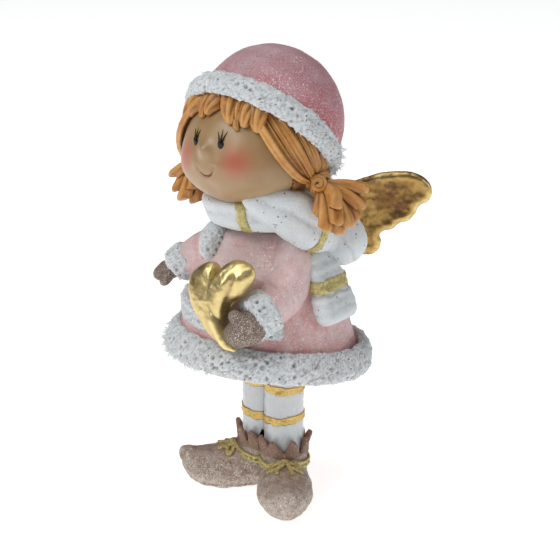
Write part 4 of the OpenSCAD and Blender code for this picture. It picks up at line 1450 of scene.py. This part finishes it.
# %% Shoes, collars and laces
for side, word in SIDES:
    yaw = -90 + (46 if side > 0 else -42)
    foot = leg_place(side) @ turn("Z", yaw) @ Matrix.Diagonal((1.07 if side > 0 else 1, 1, 1, 1))
    back = foot.inverted()
    bm = bmesh.new()
    for at, size in (((0, 0, 5.4), (7.0, 6.8, 5.9)), ((4, 0, 5.6), (7.4, 7.2, 6.2)),
                     ((8, 0, 5.4), (8.0, 7.8, 6.3)),
                     ((11.4, 0, 5.4), (8.0, 8.0, 6.4)), ((14.6, 0, 5.4), (6.8, 7.0, 6.0)),
                     ((17.4, 0, 5.9), (5.2, 5.8, 5.4)),
                     ((19.5, 0, 7.0), (3.9, 4.4, 4.4)), ((21.4, 0, 8.9), (2.5, 3.0, 3.1))):
        lump(bm, foot @ Vector(at), size, turn("Z", yaw), 5)
    swell(bm, [(0, 0, 7, 6.7), (0, 0, 9.0, 6.6), (0, 0, 10.2, 6.5)], 6, foot)
    bmesh.ops.create_cone(bm, cap_ends=True, segments=48, radius1=6.6, radius2=6.7, depth=8,
                          matrix=foot @ Matrix.Translation((0, 0, 10)))
    swell(bm, [(1.5, 0, 9.5, 6), (5.2, 0, 8.2, 5.4), (9.4, 0, 7.2, 4.6)], 6, foot)
    swell(bm, [(19, 0, 6.6, 3.4), (21.0, 0, 8.4, 2.8), (22.6, 0, 10.3, 1.7)], 8, foot)
    shoe = cast(f"{word}_shoe_cast", bm, 0.4, 10)

    def shoe_form(p, n):
        q = back @ p
        sole = crease(q.z - SOLE_LINE, 0.32) * (1 if n.z < 0.6 else 0)
        rho, spin = math.hypot(q.y, q.z - 8.4), math.atan2(q.z - 8.4, q.y)
        swirl = 0.0
        if q.x > 18.4:
            swirl = 0.2 * math.sin(rho * 2.6 - spin) * max(0.0, 1 - rho / 4.2) * min(1.0, rho / 1.2)
        return bumps(p, (0.25, 0.25), (0.09, 0.9)) - 0.3 * sole + swirl

    sculpt(shoe, shoe_form)
    for v in shoe.data.vertices:
        v.co.z = max(v.co.z, 0.0)
    keep_side(shoe, side)
    # Dark along the sole line; within 1.6 mm of the floor the shoe is darker, which is painted shade.
    paint(shoe, "deep", lambda p: crease(p.z - SOLE_LINE, 0.6) * 0.9 + 0.6 * max(0.0, (1.6 - p.z) / 1.6)
          + 0.35 * noise.noise(p * 0.4) - 0.1)
    relief(shoe, 5, 4.0)
    place(shoe, BOOT_PAINT, (f"{word}_shoe",), "taupe_glitter")

    bm = bmesh.new()
    for i in range(9):
        a = 360 * (i + 0.5) / 9 + random.uniform(-5, 5)
        high = random.uniform(4.2, 5.2)
        leaf_place = foot @ turn("Z", a)
        for k in range(15):
            t = k / 14
            wide = 2.5 * (1 - t) ** 0.6 * (0.85 + 0.4 * t) + 0.3
            curl = 0.2 + 1.2 * t ** 2
            at = leaf_place @ Vector((LEG_R + 0.35 + curl, 0.6 * math.sin(3 * t + i), 13.6 + high * t))
            lump(bm, at, (0.95, wide, 0.7), turn("Z", yaw + a) @ turn("Y", 10 + 30 * t), 2)
    for i in range(40):
        a = math.tau * i / 40
        lump(bm, foot @ Vector(((LEG_R + 0.6) * math.cos(a), (LEG_R + 0.6) * math.sin(a), 13.8)),
             (0.8, 0.8, 0.8), fine=2)
    collar = cast(f"{word}_shoe_leaflets", bm, 0.24, 4)
    sculpt(collar, lambda p, n: 0.12 * noise.noise(p * 0.8))
    keep_side(collar, side)
    relief(collar, 4, 3.0)
    place(collar, LEAFLET_PAINT, (f"{word}_shoe_collar",), "copper_leaf")

    bm = bmesh.new()
    skin_tree = bmesh.new()
    skin_tree.from_mesh(shoe.data)
    bmesh.ops.transform(skin_tree, matrix=TO_BENCH, verts=skin_tree.verts)
    tree = BVHTree.FromBMesh(skin_tree)
    skin_tree.free()

    def laid(p, out=0.3):
        """The nearest place on the shoe, a little proud of it."""
        at, way, *_ = tree.find_nearest(foot @ Vector(p))
        return at + way * out

    line = []
    for i in range(61):
        a = math.tau * i / 60
        line.append(laid(((LEG_R + 1.3) * math.cos(a), (LEG_R + 1.3) * math.sin(a),
                          11.0 + 0.35 * math.sin(3 * a))))
    for drop in (0.0, 1.3):
        gather(bm, strand("lace", [p - Vector((0, 0, drop)) for p in line], 0.5, None, 3))
    knot = Vector((LEG_R + 1.6, 0, 11.0))
    lump(bm, laid(knot, 0.4), (1.1, 1.1, 1.0))
    for way in (-1, 1):
        bow = [(0, 0, 0), (0.6, way * 1.9, 0.4), (1.6, way * 3.9, -0.2), (3.2, way * 3.7, -1.8),
               (2.6, way * 1.6, -1.4), (0.4, 0, -0.3)]
        end = [(0, 0, 0), (2.2, way * 0.8, -1.2), (4.8, way * 1.3, -2.8)]
        for name, line, out, thick in (("bow", bow, 0.45, 0.62), ("end", end, 0.35, 0.6)):
            gather(bm, strand(name, [laid(knot + p, out) for p in flow(line, 6)], thick, None, 3))
    lace = cast(f"{word}_shoe_lace", bm, 0.22, 2)
    sculpt(lace, lambda p, n: 0.22 * noise.noise(p * 1.5))
    keep_side(lace, side)
    relief(lace, 3, 3.0)
    place(lace, GLUE_GOLD, (f"{word}_lace",), "gold_glitter")

# %% [markdown]
# ## Floor, light and camera
# The floor is a plain pale sheet. Large soft lights stand above, in front on her right, and low behind her
# left; they model the round forms gently and give the gold something bright and something dark to mirror.

# %% Floor and light
floor_mesh = bmesh.new()
bmesh.ops.create_grid(floor_mesh, x_segments=4, y_segments=4, size=30.0)
floor = link("floor_sheet", floor_mesh)
paper, n, skin = finish("pale paper", Emission_Strength=0.72, Specular_IOR_Level=0.1)
n.set(skin["Base Color"], n.mix(n.cloud(40.0), (0.9, 0.9, 0.9, 1), (0.92, 0.92, 0.92, 1)))
skin["Emission Color"].default_value = (1, 1, 1, 1)
skin["Roughness"].default_value = 0.9
floor.data.materials.append(paper)

AIM = SHIFT + Vector((0, 0, 0.062))
AZ, EL = math.radians(45), math.radians(20)
BACK = Vector((math.sin(AZ) * math.cos(EL), -math.cos(AZ) * math.cos(EL), math.sin(EL)))
RIGHT = Vector((math.cos(AZ), math.sin(AZ), 0))


def soft_box(name, way, distance, size, power):
    lamp = bpy.data.lights.new(name, "AREA")
    lamp.shape, lamp.size, lamp.energy = "DISK", size, power
    holder = bpy.data.objects.new(name, lamp)
    bpy.context.scene.collection.objects.link(holder)
    way = Vector(way).normalized()
    holder.location = AIM + way * distance
    holder.rotation_euler = way.to_track_quat("Z", "Y").to_euler()
    return holder


soft_box("key_light", BACK * 0.55 - RIGHT * 0.75 + Vector((0, 0, 0.75)), 0.75, 0.45, 2.4)
soft_box("top_light", Vector((0, 0, 1)) + BACK * 0.05, 0.9, 0.7, 2.5)
soft_box("side_light", RIGHT * 1.0 + BACK * 0.25 + Vector((0, 0, 0.35)), 0.8, 0.4, 0.8)
world = bpy.context.scene.world or bpy.data.worlds.new("studio")
bpy.context.scene.world = world
world.use_nodes = True
world.node_tree.nodes["Background"].inputs["Color"].default_value = (0.9, 0.93, 0.96, 1)
world.node_tree.nodes["Background"].inputs["Strength"].default_value = 0.12

# %% Camera
camera_data = bpy.data.cameras.new("camera")
camera_data.sensor_width = 36
camera_data.lens = 3.59 * 480 / 560 * 36
camera_data.clip_start, camera_data.clip_end = 0.01, 20
camera_data.shift_x, camera_data.shift_y = 12 / 560, 4.9 / 560
camera = bpy.data.objects.new("camera", camera_data)
bpy.context.scene.collection.objects.link(camera)
camera.location = AIM + BACK * 0.48
camera.rotation_mode = "QUATERNION"
camera.rotation_quaternion = BACK.to_track_quat("Z", "Y")
bpy.context.scene.camera = camera
bpy.context.scene.view_settings.view_transform = "Standard"
